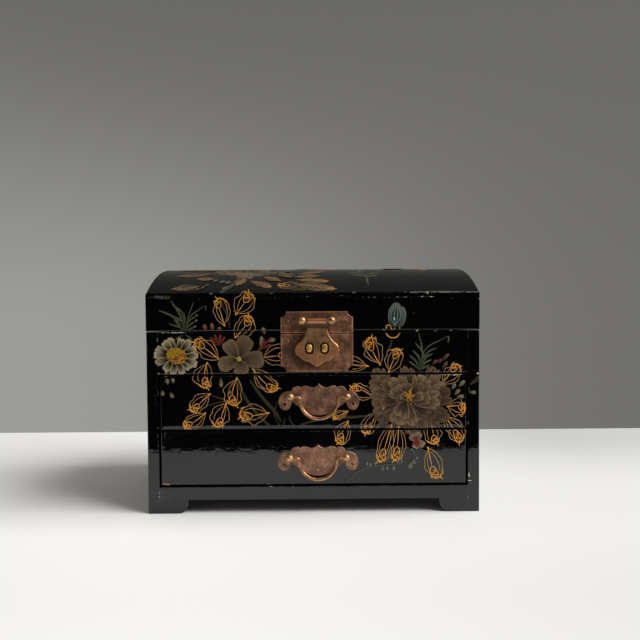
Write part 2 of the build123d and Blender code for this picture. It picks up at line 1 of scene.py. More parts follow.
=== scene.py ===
import bpy
import numpy as np
from mathutils import Matrix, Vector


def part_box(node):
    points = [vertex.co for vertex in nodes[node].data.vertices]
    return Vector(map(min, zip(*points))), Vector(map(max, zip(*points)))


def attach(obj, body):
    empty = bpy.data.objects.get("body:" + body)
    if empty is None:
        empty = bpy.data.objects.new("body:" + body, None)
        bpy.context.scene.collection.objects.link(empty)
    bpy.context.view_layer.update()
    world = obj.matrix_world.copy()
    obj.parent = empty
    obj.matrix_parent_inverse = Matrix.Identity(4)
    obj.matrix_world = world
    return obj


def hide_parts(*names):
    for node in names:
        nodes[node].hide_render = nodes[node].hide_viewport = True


# A black lacquer box with painted flowers, copper plates and brass fittings.
# Sizes and places are in millimetres, and go into the meshes as metres.

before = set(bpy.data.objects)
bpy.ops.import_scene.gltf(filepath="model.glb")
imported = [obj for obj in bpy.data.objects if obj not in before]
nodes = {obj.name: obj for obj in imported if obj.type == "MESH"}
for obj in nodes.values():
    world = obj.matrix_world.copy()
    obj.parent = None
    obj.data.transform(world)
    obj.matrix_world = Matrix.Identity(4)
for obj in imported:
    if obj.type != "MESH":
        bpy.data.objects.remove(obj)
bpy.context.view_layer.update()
MM = 0.001

# Places that the painting and the finishes share, read from the frame
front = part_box("frieze_panel")[0].y / MM
half_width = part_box("side_panel_right")[1].x / MM
lid_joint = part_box("lid_front_panel")[1].z / MM
dome_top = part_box("lid_top_board")[1].z / MM
dome_middle = (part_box("lid_top_board")[0].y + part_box("lid_top_board")[1].y) / 2 / MM
half_depth = dome_middle - front

# The dome is an arc: inside, its board rises by dome_rise from the front edge to the middle
board_thickness = 5.0
dome_rise = 30.8
dome_radius = (half_depth**2 + dome_rise**2) / (2 * dome_rise) + board_thickness
dome_centre = dome_top - dome_radius
dome_reach = np.arcsin(half_depth / dome_radius)

hand = np.random.default_rng(7)


def tone(red, green, blue):
    """A colour as a screen shows it, 0 to 255 a channel, turned into light."""
    share = np.array([red, green, blue]) / 255
    return np.where(share > 0.04045, ((share + 0.055) / 1.055) ** 2.4, share / 12.92)


def block(node):
    """A CAD node's lowest and highest corners in millimetres."""
    return [np.array(corner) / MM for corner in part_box(node)]


# Shader sums


def sum_of(operation, turned=False):
    """An operator of Value that adds one Math node; turned puts the value itself last."""

    def result(value, *others):
        terms = [*others, value] if turned else [value, *others]
        return value.finish.node("Math", {"operation": operation}, terms)[0]

    return result


class Value:
    """A number or vector that a finish works out, written in sums like any other."""

    __add__ = __radd__ = sum_of("ADD")
    __mul__ = __rmul__ = sum_of("MULTIPLY")
    __sub__ = sum_of("SUBTRACT")
    __rsub__ = sum_of("SUBTRACT", turned=True)
    __truediv__ = sum_of("DIVIDE")
    __pow__ = sum_of("POWER")
    low = sum_of("MINIMUM")
    high = sum_of("MAXIMUM")
    size = sum_of("ABSOLUTE")
    sine = sum_of("SINE")

    def __init__(self, finish, socket):
        self.finish = finish
        self.socket = socket

    def rise(self, start, end):
        """0 below start, 1 above end and a smooth step between; start may lie above end."""
        settings = {"interpolation_type": "SMOOTHSTEP"}
        return self.finish.node("MapRange", settings, [self, start, end, 0.0, 1.0])[0]


class Finish:
    """One material. Its shader takes constants from `steady`, and sums from set()."""

    def __init__(self, name, **steady):
        self.material = bpy.data.materials.new(name)
        self.material.use_nodes = True
        self.tree = self.material.node_tree
        self.shader = self.tree.nodes["Principled BSDF"]
        for socket, value in steady.items():
            self.set(socket.replace("_", " "), value)
        self.point = self.scaled(self.node("TexCoord")[3], 1 / MM)
        self.x, self.y, self.z = self.node("SeparateXYZ", {}, [self.point])

    def node(self, kind, settings=None, sockets=()):
        """Any node: its type, its settings, and the values or links of its sockets."""
        made = self.tree.nodes.new("ShaderNode" + kind)
        for key, value in (settings or {}).items():
            if key == "stops":
                self.fill_ramp(made.color_ramp, value)
            else:
                setattr(made, key, value)
        pairs = sockets.items() if isinstance(sockets, dict) else enumerate(sockets)
        for key, value in pairs:
            self.give(made.inputs[key], value)
        return [Value(self, socket) for socket in made.outputs if socket.enabled]

    def fill_ramp(self, ramp, stops):
        while len(ramp.elements) < len(stops):
            ramp.elements.new(1.0)
        for element, (place, colour) in zip(ramp.elements, stops):
            element.position = place
            element.color = (*colour, 1)

    def give(self, socket, value):
        if isinstance(value, Value):
            self.tree.links.new(value.socket, socket)
        elif socket.type == "RGBA" and len(value) == 3:
            socket.default_value = (*value, 1)
        else:
            socket.default_value = value

    def set(self, socket, value):
        self.give(self.shader.inputs[socket], value)

    def mix(self, share, first, second):
        """A colour that goes from first to second as share goes from 0 to 1."""
        return self.node("Mix", {"data_type": "RGBA"}, {0: share, 6: first, 7: second})[0]

    def scaled(self, vector, factor):
        """A vector or colour times a number."""
        return self.node("VectorMath", {"operation": "SCALE"}, {0: vector, "Scale": factor})[0]

    def noise(self, length, detail=2.0, roughness=0.5, stretch=(1, 1, 1)):
        """Soft noise between 0 and 1, whose lumps are about `length` across."""
        scales = [1 / (length * s) for s in stretch]
        where = self.node("VectorMath", {"operation": "MULTIPLY"}, [self.point, scales])[0]
        sockets = {"Vector": where, "Scale": 1.0, "Detail": detail, "Roughness": roughness}
        return self.node("TexNoise", {}, sockets)[0]

    def cells(self, length):
        """Millimetres to the nearest of scattered points about `length` apart."""
        where = self.scaled(self.point, 1 / length)
        return self.node("TexVoronoi", {}, {"Vector": where, "Scale": 1.0})[0] * length

    def dress(self, colour, roughness, relief, metallic=0.0):
        """Sets what varies over the surface; relief is a height in millimetres. Gives the material."""
        bump = self.node("Bump", {}, {"Strength": 1.0, "Distance": MM, "Height": relief})[0]
        varied = {"Base Color": colour, "Roughness": roughness, "Metallic": metallic, "Normal": bump}
        for socket, value in varied.items():
            self.set(socket, value)
        return self.material


def middle_of(a, b, c):
    """The middle one of three sums."""
    return a.low(b).high(a.high(b).low(c))


def near_edge(finish, low, high):
    """Distance from a point on a board's surface to the nearest edge of its block."""
    sides = []
    for place, start, end in zip((finish.x, finish.y, finish.z), low, high):
        sides.append((place - start).low(end - place).size())
    return middle_of(*sides)


def near_dome_edge(finish):
    """Distance from a point on the curved board to its nearest edge."""
    across = (half_width - finish.x.size()).size()
    depth = finish.y - dome_middle
    height = finish.z - dome_centre
    reach = (depth * depth + height * height) ** 0.5
    faces = (dome_radius - reach).size().low((dome_radius - board_thickness - reach).size())
    inward = (half_depth - depth.size()).size()
    return middle_of(across, inward, faces)


def oval(finish, x, z, width, height):
    """1 in the middle of an oval on the front, 0 on its rim and less outside it."""
    across, up = (finish.x - x) / width, (finish.z - z) / height
    return 1.0 - across * across - up * up


def lacquer(name, edge_of, marks=(), film_drop=0.2, film_reach=4.0, chips=1.0):
    """Black lacquer: deep gloss over faint brush waves, thinning towards the edges, with chips and rubbed
    places along them. Each mark on the front is a ragged oval: its middle, half sizes, tone, strength and
    fullness, which is low for a broken line. film_drop and film_reach are how deep and how far in from an
    edge the film thins, and chips how strong the chips along the edges are."""
    f = Finish(name, IOR=1.56)
    edge = edge_of(f)
    peel = f.noise(2.2, detail=2.0)
    ripple = f.noise(5.5, detail=2.0, stretch=(1.4, 1.0, 0.8))
    waves = f.noise(15.0, detail=1.0, stretch=(1.8, 1.8, 1.0))
    board = f.noise(90.0, detail=0.0)
    smears = f.noise(26.0, detail=5.0, roughness=0.62, stretch=(1.0, 1.0, 2.6))
    patches = f.noise(11.0, detail=4.0, roughness=0.6)
    flecks = f.noise(1.5, detail=3.0, roughness=0.6, stretch=(2.2, 1.0, 1.0))
    reach = 0.15 + 1.0 * patches.rise(0.54, 0.7)
    chipped = (reach - edge).rise(0.0, 0.2) * flecks.rise(0.5, 0.58)
    chipped = chipped * patches.rise(0.48, 0.6)
    rubbed = (2.2 - edge).rise(0.0, 2.0) * smears.rise(0.45, 0.7) * 0.5
    specks = f.cells(31.0).rise(0.45, 0.3) * f.noise(60.0).rise(0.5, 0.6)
    bare = (chipped * chips).high(specks * 0.7)
    ground = f.mix(smears, tone(3, 3, 4), tone(8, 8, 8))
    rubbed_ground = f.mix(rubbed, ground, tone(34, 31, 28))
    bare_tone = f.mix(flecks.rise(0.54, 0.64), tone(84, 74, 62), tone(196, 192, 182))
    colour = f.mix(bare, rubbed_ground, bare_tone)
    ragged = f.noise(1.5, detail=4.0, roughness=0.7, stretch=(1.5, 1.0, 1.0))
    for x, z, width, height, shade, strength, fullness in marks:
        inside = oval(f, x, z, width, height)
        mark = (fullness * inside + 6.0 * (ragged - 0.56)).rise(0.1, 0.8) * inside.rise(-1.5, 0.0) * strength
        colour = f.mix(mark, colour, shade)
        bare = bare.high(mark * 0.6)
    roughness = 0.03 + 0.05 * smears.rise(0.4, 0.8) + 0.2 * rubbed + bare * 0.5
    rolled = (1.0 - edge / film_reach).high(0.0)
    film = 0.008 * peel + 0.05 * ripple + 0.06 * waves + 0.06 * board - film_drop * rolled * rolled
    return f.dress(colour, roughness, film - 0.1 * bare)


def inner_lacquer(name):
    """Thin dark lacquer brushed on the hidden boards, with the wood's grain just showing."""
    f = Finish(name, IOR=1.5)
    grain = f.noise(1.6, detail=5.0, roughness=0.65, stretch=(14.0, 1.0, 1.0))
    cloud = f.noise(38.0, detail=3.0)
    dark = f.mix(cloud, tone(30, 20, 15), tone(52, 33, 23))
    return f.dress(f.mix(grain.rise(0.5, 0.72), dark, tone(70, 46, 32)), 0.42 + 0.2 * cloud, 0.05 * grain)


# Old sheet metals: dark, middle and light tones, length of the patina's clouds, roughness, metallic
metals = {
    "copper_plate": ((84, 64, 52), (152, 110, 86), (220, 162, 130), 7.0, 0.42, 0.5),
    "lock_copper": ((74, 56, 44), (138, 96, 72), (208, 146, 112), 7.0, 0.42, 0.5),
    "aged_brass": ((112, 76, 50), (184, 134, 92), (238, 196, 148), 4.0, 0.3, 0.75),
    "bright_brass": ((136, 94, 60), (212, 160, 108), (250, 212, 160), 4.0, 0.4, 0.6),
    # Painted light: the staples' brass is coloured brighter, to lift them out of the shade of their slots
    "staple_brass_painted_bright": ((156, 104, 46), (236, 178, 94), (255, 220, 160), 3.0, 0.34, 0.45),
    "nail_copper": ((96, 70, 58), (164, 120, 98), (214, 176, 152), 3.0, 0.3, 0.75),
    "hinge_brass": ((84, 60, 32), (148, 112, 62), (196, 156, 96), 9.0, 0.4, 0.8),
}
coat_shadow = tone(84, 66, 50)


def metal(kind, name=None, rubbed=None, painted_shade=None):
    """Old sheet metal: clouds of patina over the bare tone, darker in the pits. rubbed is the block of a
    plate whose edges are rubbed bright, with a painted highlight on them, and the last argument the
    place of a painted shadow of the hasp, a dark patch on the plate: across, up, half sizes."""
    *tones, patch, roughness, metallic = metals[kind]
    dark, middle, light = (tone(*shade) for shade in tones)
    f = Finish(name or kind, IOR=1.5)
    cloud = f.noise(patch, detail=5.0, roughness=0.62)
    fine = f.noise(1.4, detail=4.0, roughness=0.7)
    spots = f.noise(patch * 0.35, detail=3.0, roughness=0.55)
    shade = cloud * 0.6 + fine * 0.4
    ramp = {"stops": [(0.34, dark), (0.5, middle), (0.66, light)]}
    coat = f.node("ValToRGB", ramp, [shade])[0]
    coat = f.mix(spots.rise(0.6, 0.7) * 0.6, coat, dark * 0.7)
    tarnish = f.noise(patch * 1.7, detail=3.0)
    coat = f.mix(tarnish.rise(0.5, 0.68) * 0.45, coat, coat_shadow)
    # Painted shadow of the hasp: a dark patch on the plate round the hasp and below it.
    if painted_shade:
        darker_patch = oval(f, *painted_shade).rise(0.0, 0.8) * (0.5 + 0.9 * (cloud - 0.4))
        coat = f.mix(darker_patch.low(0.85), coat, tone(46, 33, 25))
    # Rubbed edges: worn bright copper, and a painted highlight along them.
    if rubbed:
        worn = (1.7 - near_edge(f, *rubbed)).rise(0.0, 1.5) * (0.35 + cloud.rise(0.4, 0.6) * 0.65)
        coat = f.mix(worn * 0.85, coat, light * 1.25)
    roughness = roughness + 0.25 * (cloud - 0.5) + 0.3 * (fine - 0.5)
    metallic = metallic - 0.5 * spots.rise(0.55, 0.75) * metallic
    return f.dress(coat, roughness, 0.05 * fine + 0.08 * cloud, metallic)


def engraved_brass(name, neck_x, bar_z):
    """The hasp's brass: a coppery barrel with grey ends, painted shade below it, and fine lines that fan out
    over the leaf."""
    f = Finish(name, IOR=1.5)
    across = f.x - neck_x
    down = bar_z - f.z
    turn = f.node("Math", {"operation": "ARCTAN2"}, [across, down])[0]
    cloud = f.noise(9.0, detail=5.0, roughness=0.6)
    fine = f.noise(1.2, detail=4.0, roughness=0.7)
    neck_lines = (turn * 58.0 + cloud * 3.0).sine().rise(-0.3, 0.9) * (20.0 - down).rise(0.0, 5.0)
    tip_lines = (turn * 104.0 + cloud * 3.0).sine().rise(-0.3, 0.9) * (down - 15.0).rise(0.0, 5.0)
    lines = neck_lines.high(tip_lines) * (down - 3.0).rise(0.0, 3.0) * (37.0 - down).rise(0.0, 9.0)
    lines = lines * (0.45 + 0.55 * f.noise(4.0).rise(0.42, 0.58))
    stops = [(0.36, tone(126, 98, 68)), (0.5, tone(186, 142, 96)), (0.64, tone(232, 164, 116))]
    coat = f.node("ValToRGB", {"stops": stops}, [cloud * 0.6 + fine * 0.4])[0]
    rim = (across.size() - 11.0).rise(0.0, 6.0) + (down - 27.0).rise(0.0, 8.0) * 0.6
    coat = f.mix(rim.low(1.0) * (0.3 + 0.5 * cloud), coat, tone(224, 138, 84))
    leaf = f.mix(lines * 0.66, coat, tone(66, 46, 30))
    # Painted shade: the leaf is darkened just below the barrel, where the neck lies in its shadow.
    painted_shade = (down - 1.8).rise(0.0, 1.2) * (10.0 - down).rise(0.0, 5.0)
    leaf = f.mix(painted_shade * 0.85, leaf, tone(44, 30, 20))
    barrel = f.mix((across.size() - 7.4).rise(0.0, 0.6), tone(204, 132, 92), tone(128, 100, 78))
    coat = f.mix((2.3 - down.size()).rise(0.0, 0.4), leaf, barrel)
    roughness = 0.38 + 0.2 * (cloud - 0.5) + 0.1 * lines + 0.4 * painted_shade
    return f.dress(coat, roughness, 0.03 * fine + 0.05 * cloud - 0.05 * lines, 0.6 - 0.55 * painted_shade)


def felt(name):
    """Short red felt: a soft nap with lint and rubbed lighter places."""
    f = Finish(name, Sheen_Weight=0.4, Sheen_Roughness=0.5, Specular_IOR_Level=0.2)
    nap = f.noise(0.9, detail=4.0, roughness=0.7)
    worn = f.noise(34.0, detail=3.0)
    wool = f.mix(nap, tone(84, 12, 14), tone(134, 24, 24))
    colour = f.mix(worn.rise(0.5, 0.75) * 0.3, wool, tone(150, 48, 42))
    return f.dress(colour, 0.9 + 0.1 * nap, 0.25 * nap)


def brush_paint(name, gold):
    """Brushed paint under a thin varnish. Its colour comes with the strokes."""
    f = Finish(name, IOR=1.48, Specular_IOR_Level=0.32)
    colour = f.node("Attribute", {"attribute_name": "paint"})[0]
    mottle = f.noise(1.5, detail=4.0, roughness=0.65)
    thin = f.noise(7.0, detail=3.0)
    worn = mottle.rise(0.62, 0.75) * thin.rise(0.5, 0.62)
    dull = f.scaled(colour, 0.8 if gold else 0.72)
    varied = f.mix((mottle * 0.6 + thin * 0.4).rise(0.3, 0.62), dull, colour)
    varied = f.mix(worn * 0.4, varied, tone(24, 20, 16))
    return f.dress(varied, (0.34 if gold else 0.42) + 0.2 * mottle, 0.03 * mottle, 0.1 if gold else 0.0)


# Finishes of the CAD nodes


def finish_node(node, material):
    """Gives a CAD node its material."""
    slots = nodes[node].data.materials
    slots.clear()
    slots.append(material)


white_chip_and_highlight = tone(214, 210, 200)
grey_wear_and_highlight = tone(120, 114, 108)
wood_chip = tone(206, 150, 118)

# Worn places and painted highlights on the front boards: middle across and up, half sizes, tone, strength and
# fullness
solid, broken = 1.4, 0.3
front_marks = {
    "lid_top_board": (
        (-139.0, 198.8, 13.0, 1.8, grey_wear_and_highlight, 0.45, solid),
        (-4.0, 198.7, 9.0, 0.9, grey_wear_and_highlight, 0.6, broken),
        (-36.0, 197.6, 24.0, 0.35, grey_wear_and_highlight, 0.9, broken),
        (28.0, 199.2, 6.0, 0.9, grey_wear_and_highlight, 0.7, broken),
        (72.0, 197.8, 24.0, 0.4, white_chip_and_highlight, 0.9, broken),
        (104.0, 198.0, 12.0, 0.5, white_chip_and_highlight, 0.9, 0.8),
        (105.0, 201.6, 0.8, 1.7, white_chip_and_highlight, 1.0, solid),
        # A painted highlight along the dome's front edge, on the right
        (114.0, 202.4, 38.0, 1.2, grey_wear_and_highlight, 0.75, 1.0),
    ),
    "lower_drawer_front": (
        (-136.0, 27.2, 4.4, 0.9, wood_chip, 1.0, solid),
        (8.0, 75.0, 70.0, 0.4, grey_wear_and_highlight, 0.5, broken),
        (-134.0, 74.0, 7.0, 4.0, grey_wear_and_highlight, 0.35, broken),
    ),
    "upper_drawer_front": (
        (128.0, 126.4, 14.0, 0.5, white_chip_and_highlight, 0.8, 0.8),
        (-20.0, 126.5, 70.0, 0.35, grey_wear_and_highlight, 0.5, broken),
        (-135.0, 123.5, 7.0, 3.4, grey_wear_and_highlight, 0.5, broken),
    ),
    "side_panel_left": (
        (-144.6, 108.0, 1.0, 11.0, grey_wear_and_highlight, 0.6, broken),
        (-151.8, 150.0, 0.5, 16.0, grey_wear_and_highlight, 0.6, solid),
        (-142.8, 60.0, 0.5, 26.0, grey_wear_and_highlight, 0.5, broken),
    ),
    "side_panel_right": (
        (143.0, 34.0, 0.8, 2.2, white_chip_and_highlight, 1.0, solid),
        (142.8, 28.5, 2.4, 0.6, white_chip_and_highlight, 0.9, solid),
        (151.0, 127.5, 1.2, 0.8, white_chip_and_highlight, 1.0, solid),
        (143.0, 112.0, 0.6, 3.0, grey_wear_and_highlight, 0.8, solid),
    ),
    "front_apron": (
        (-138.0, 14.6, 1.2, 0.7, white_chip_and_highlight, 1.0, solid),
        (-133.5, 13.8, 2.0, 0.5, grey_wear_and_highlight, 0.8, solid),
        (62.0, 19.6, 90.0, 0.3, grey_wear_and_highlight, 0.5, broken),
    ),
    "lid_front_panel": (
        # A painted highlight along the lid's lower edge
        (-30.0, 168.3, 120.0, 0.3, grey_wear_and_highlight, 0.4, solid),
        (92.0, 183.0, 1.0, 0.5, grey_wear_and_highlight, 0.7, solid),
    ),
    "frieze_panel": (
        # A painted highlight along the case's top edge, on the left
        (-126.0, 166.6, 16.0, 0.5, white_chip_and_highlight, 0.7, solid),
        (-75.0, 129.0, 60.0, 0.35, grey_wear_and_highlight, 0.5, broken),
        (110.0, 129.0, 30.0, 0.35, grey_wear_and_highlight, 0.6, broken),
        (-142.0, 129.2, 1.0, 0.6, white_chip_and_highlight, 1.0, solid),
    ),
}


def finish_case_and_lid():
    outside = ["side_panel_left", "side_panel_right", "front_apron", "rear_apron"]
    outside += ["frieze_panel", "back_panel", "lid_front_panel", "lid_back_panel"]
    outside += ["lid_end_left", "lid_end_right", "upper_drawer_front", "lower_drawer_front"]
    for node in outside:
        low, high = block(node)
        film = {"film_drop": 0.44, "film_reach": 6.5} if "drawer" in node else {}
        marks = front_marks.get(node, ())
        finish_node(node, lacquer(f"{node}_lacquer", lambda f: near_edge(f, low, high), marks, **film))
    marks = front_marks["lid_top_board"]
    finish_node("lid_top_board", lacquer("lid_top_lacquer", near_dome_edge, marks, chips=0.35))
    inside = inner_lacquer("inner_board_lacquer")
    hidden = ["bottom_board", "drawer_divider", "compartment_floor"]
    for drawer in ("upper_drawer", "lower_drawer"):
        hidden += [f"{drawer}_{board}" for board in ("side_left", "side_right", "back", "bottom")]
    for node in hidden:
        finish_node(node, inside)


def finish_fittings():
    made_of = {
        "copper_plate": [],
        "aged_brass": [],
        "bright_brass": ["hasp_bar_posts", "hasp_bar_pin"],
        "staple_brass_painted_bright": ["lock_staples"],
        "nail_copper": ["case_plate_nails", "lid_plate_nails"],
        "hinge_brass": ["case_hinge_screws", "lid_hinge_screws"],
    }
    for drawer in ("upper_drawer", "lower_drawer"):
        made_of["copper_plate"].append(f"{drawer}_pull_plate")
        made_of["nail_copper"].append(f"{drawer}_pull_nails")
        made_of["bright_brass"].append(f"{drawer}_pull_posts")
        made_of["aged_brass"].append(f"{drawer}_bail")
    for side in ("left", "right"):
        for part in ("case_hinge_leaf", "lid_hinge_leaf", "hinge_pin"):
            made_of["hinge_brass"].append(f"{part}_{side}")
    for kind, parts in made_of.items():
        material = metal(kind)
        for node in parts:
            finish_node(node, material)
    for node in ("case_lock_plate", "lid_lock_plate"):
        # Where the hasp's painted shadow falls on the lock plates: across, up, half sizes.
        darker_patch = (-3.0, 151.0, 27.0, 24.0)
        finish_node(node, metal("lock_copper", f"{node}_copper", rubbed=block(node), painted_shade=darker_patch))
    low, high = block("hasp_bar_pin")
    neck_x, _, bar_z = (low + high) / 2
    finish_node("hasp", engraved_brass("hasp_engraved_brass", neck_x, bar_z))
    staple_heads(nodes["lock_staples"].data.materials[0])


# Painting: strokes are laid out on the plane of the front, or along the dome's curve


def grid_faces(rows, columns):
    """The four corners of every cell in a grid of points that are counted row by row."""
    index = np.arange(rows * columns).reshape(rows, columns)
    corners = [index[:-1, :-1], index[:-1, 1:], index[1:, 1:], index[1:, :-1]]
    return np.stack(corners, axis=-1).reshape(-1, 4)


class Strokes:
    """Brushwork gathered in flat places (across, up), with a height above the lacquer and a colour."""

    def __init__(self, layer=0.0):
        """layer is how high above the lacquer the first strokes start."""
        self.patches = []
        self.count = 0
        self.layer = layer

    def lay(self, places, heights, colours):
        """Adds a grid of points, rows by columns, as one patch of paint."""
        rows, columns = places.shape[:2]
        colours = np.broadcast_to(colours, (rows, columns, 3)).reshape(-1, 3)
        heights = (heights + self.layer).reshape(-1)
        self.patches.append((places.reshape(-1, 2), heights, colours, self.count + grid_faces(rows, columns)))
        self.count += rows * columns

    def fade(self, share, painted_sheen):
        """Dims all paint laid so far as painted shade, and greys it with a painted sheen."""
        self.patches = [(*patch[:2], patch[2] * share + painted_sheen, patch[3]) for patch in self.patches]

    def arrays(self):
        """All places, heights, colours and faces."""
        return [np.concatenate(parts) for parts in zip(*self.patches)]


rim_depth = -0.02
paint_rise = 0.09
layer_step = 0.007


def stroke(strokes, path, width, colour, rise=paint_rise, shade=0.75):
    """A brush stroke: an arch across the path, highest in its middle and sunk to the lacquer at both rims.
    Across it, v runs from -1 to 1 and the height is rise times (1 - v squared)."""
    path = np.asarray(path, float)
    along = np.gradient(path, axis=0)
    along /= np.maximum(np.linalg.norm(along, axis=1, keepdims=True), 1e-9)
    aside = np.stack([-along[:, 1], along[:, 0]], axis=1)
    v = np.array([-1.0, -0.7, 0.0, 0.7, 1.0])
    half = np.broadcast_to(width, len(path))[:, None] / 2
    places = path[:, None] + aside[:, None] * (half * v)[..., None]
    heights = np.where(np.abs(v) == 1, rim_depth, rise * (1 - v**2))
    dimmed = np.where(np.abs(v) == 1, shade, 1)[:, None]
    colour = np.broadcast_to(colour, (len(path), 3))[:, None] * dimmed
    strokes.lay(places, np.broadcast_to(heights, places.shape[:2]), colour)
    strokes.layer += layer_step / 8


def curve(*knots, steps=22):
    """A smooth path through a few points: a Catmull-Rom curve."""
    knots = np.asarray(knots, float)
    ends = np.concatenate([[2 * knots[0] - knots[1]], knots, [2 * knots[-1] - knots[-2]]])
    t = np.linspace(0, len(knots) - 1, steps)
    k = np.minimum(t.astype(int), len(knots) - 2)
    u = (t - k)[:, None]
    a, b, c, d = ends[k], ends[k + 1], ends[k + 2], ends[k + 3]
    return 0.5 * (2 * b + (c - a) * u + (2 * a - 5 * b + 4 * c - d) * u**2 + (3 * b - a - 3 * c + d) * u**3)


def taper(steps, start, end):
    """Widths along a stroke: start at first, 1 in the middle and end at last."""
    t = np.linspace(0, 1, steps)
    straight = start * (1 - t) + end * t
    return straight + (1 - straight) * np.sin(np.pi * t) ** 0.7


gold = tone(255, 178, 66)
gold_faint = tone(188, 150, 100)
gold_fill = tone(150, 92, 30)


def gold_line(strokes, path, width, share=1.0):
    """A thin line; share runs from 0, where the paint is faint, to 1, where it is full."""
    path = np.asarray(path, float)
    share = np.clip(np.broadcast_to(share, len(path)) + 0.12 * hand.standard_normal(len(path)), 0, 1)
    colour = gold_faint + (gold - gold_faint) * share[:, None]
    widths = width * (0.75 + 0.35 * share) * taper(len(path), 0.6, 0.6)
    stroke(strokes, path, widths, colour, rise=0.1, shade=0.6)


def way(turn):
    """The unit arrow that points along an angle."""
    return np.array([np.cos(turn), np.sin(turn)])


def spin(turn):
    """The matrix that turns rows of places by an angle."""
    return np.array([way(turn), [-np.sin(turn), np.cos(turn)]])


def axes_of(base, tip):
    """The base, the whole way from it to the tip, and a unit arrow square to that way."""
    base, tip = np.array(base, float), np.array(tip, float)
    along = tip - base
    return base, along, np.array([-along[1], along[0]]) / np.linalg.norm(along)


def gold_leaf(strokes, base, tip, width, line=0.66, fill=gold_fill * 0.4):
    """A rolled leaf in gold outline. Along it, t runs from 0 at the base to 1 at the tip; across it, v
    runs from -1 to 1. The rim is v = sin(pi t)^(0.82 - 0.4 t), with a ripple from a quarter of the way
    on. Under its scalloped top hangs a cup of two arcs with small turns of the brush in it. A rib, two
    veins, a heavy dot at the base and a hook at the tip finish it."""
    base, along, aside = axes_of(base, tip)
    length = np.linalg.norm(along)
    along /= length
    lean = 0.06 * hand.standard_normal()
    side_of_hook = hand.choice([-1, 1])
    cup_end = hand.uniform(0.52, 0.64)
    cup_length = 0.92 - cup_end
    shift = 0.16 * hand.standard_normal()

    def at(t, v):
        """The point t along and v half widths aside."""
        t, v = np.broadcast_arrays(np.asarray(t, float), np.asarray(v, float))
        bow = lean * length * np.sin(np.pi * np.clip(t, 0, 1))
        return base + along * (t * length)[..., None] + aside * (v * width / 2 + bow)[..., None]

    def rim(t):
        """Half widths from the rib to the rim."""
        t = np.clip(t, 0, 1)
        return np.sin(np.pi * t) ** (0.82 - 0.4 * t)

    def cup_half(t, full, least):
        """Half widths inside the cup: the share t of an arc that is full wide at its top."""
        return full * np.sqrt(np.clip(1 - ((0.9 - t) / cup_length) ** 2, least, 1))

    depth, spread = np.linspace(0, 1, 9), np.linspace(-1, 1, 7)
    cup_t, cup_v = np.meshgrid(cup_end + 0.12 + (0.8 - cup_end) * depth, spread, indexing="ij")
    strokes.lay(at(cup_t, shift + cup_v * cup_half(cup_t, 0.32, 0)), 0.0 * cup_t, fill)
    strokes.layer += layer_step
    t = np.linspace(0.0, 0.93, 26)
    strong = np.clip(np.abs(t - 0.42) * 2.2 - 0.35, 0, 0.9)
    for side in (-1, 1):
        start = 0.0 if side == side_of_hook else 0.05
        strength = hand.uniform(0.05, 0.17) * np.clip((t - 0.25) / 0.3, 0, 1)
        ripple = strength * np.sin(15 * t + hand.uniform(0, 6))
        reach = hand.uniform(0.9, 1.06)
        gold_line(strokes, at(start + t * (1 - start), side * (rim(t) * reach + ripple)), line, strong)
        vein = np.linspace(0.12, hand.uniform(0.74, 0.86), 16)
        belly = hand.uniform(0.5, 0.68) * np.sin(np.pi * (vein / 1.08) ** 1.1)
        gold_line(strokes, at(vein, side * belly), line * 0.75, 0.2 + 0.5 * vein)
        arc = np.linspace(0, np.pi / 2, 12)
        cup = at(0.92 - cup_length * np.sin(arc), shift + side * 0.42 * np.cos(arc))
        gold_line(strokes, cup, line, 0.85)
    turns = np.linspace(0, 1, 22)
    inner = cup_end + 0.12 + (0.82 - cup_end) * turns
    swing = cup_half(inner, 0.26, 0.03) * np.sin(turns * 3.3 * np.pi)
    gold_line(strokes, at(inner, shift + swing), line, 1.0)
    sweep = np.linspace(-1, 1, 26)
    scallop = 0.045 * np.abs(np.cos(sweep * 2.5 * np.pi + hand.uniform(0, 1)))
    gold_line(strokes, at(0.94 - 0.16 * sweep**2 + scallop, 0.66 * sweep), line * 1.2, 1.0)
    rib = np.linspace(0.0, cup_end, 12)
    gold_line(strokes, at(rib, shift * rib / cup_end), line * np.linspace(1.4, 0.8, 12), 0.7)
    dot = np.linspace(-0.04, 0.1, 7)
    stroke(strokes, at(dot, 0.0), line * np.linspace(2.2, 1.0, 7), gold, rise=0.14, shade=0.6)
    hook = at(np.linspace(0.93, 1.05, 7), side_of_hook * np.linspace(0.2, 0.45, 7))
    stroke(strokes, hook, line * np.linspace(1.5, 0.8, 7), gold, rise=0.14, shade=0.6)


def kept_sign(number, power):
    """The number's size raised to a power, with the number's sign."""
    return np.sign(number) * np.abs(number) ** power


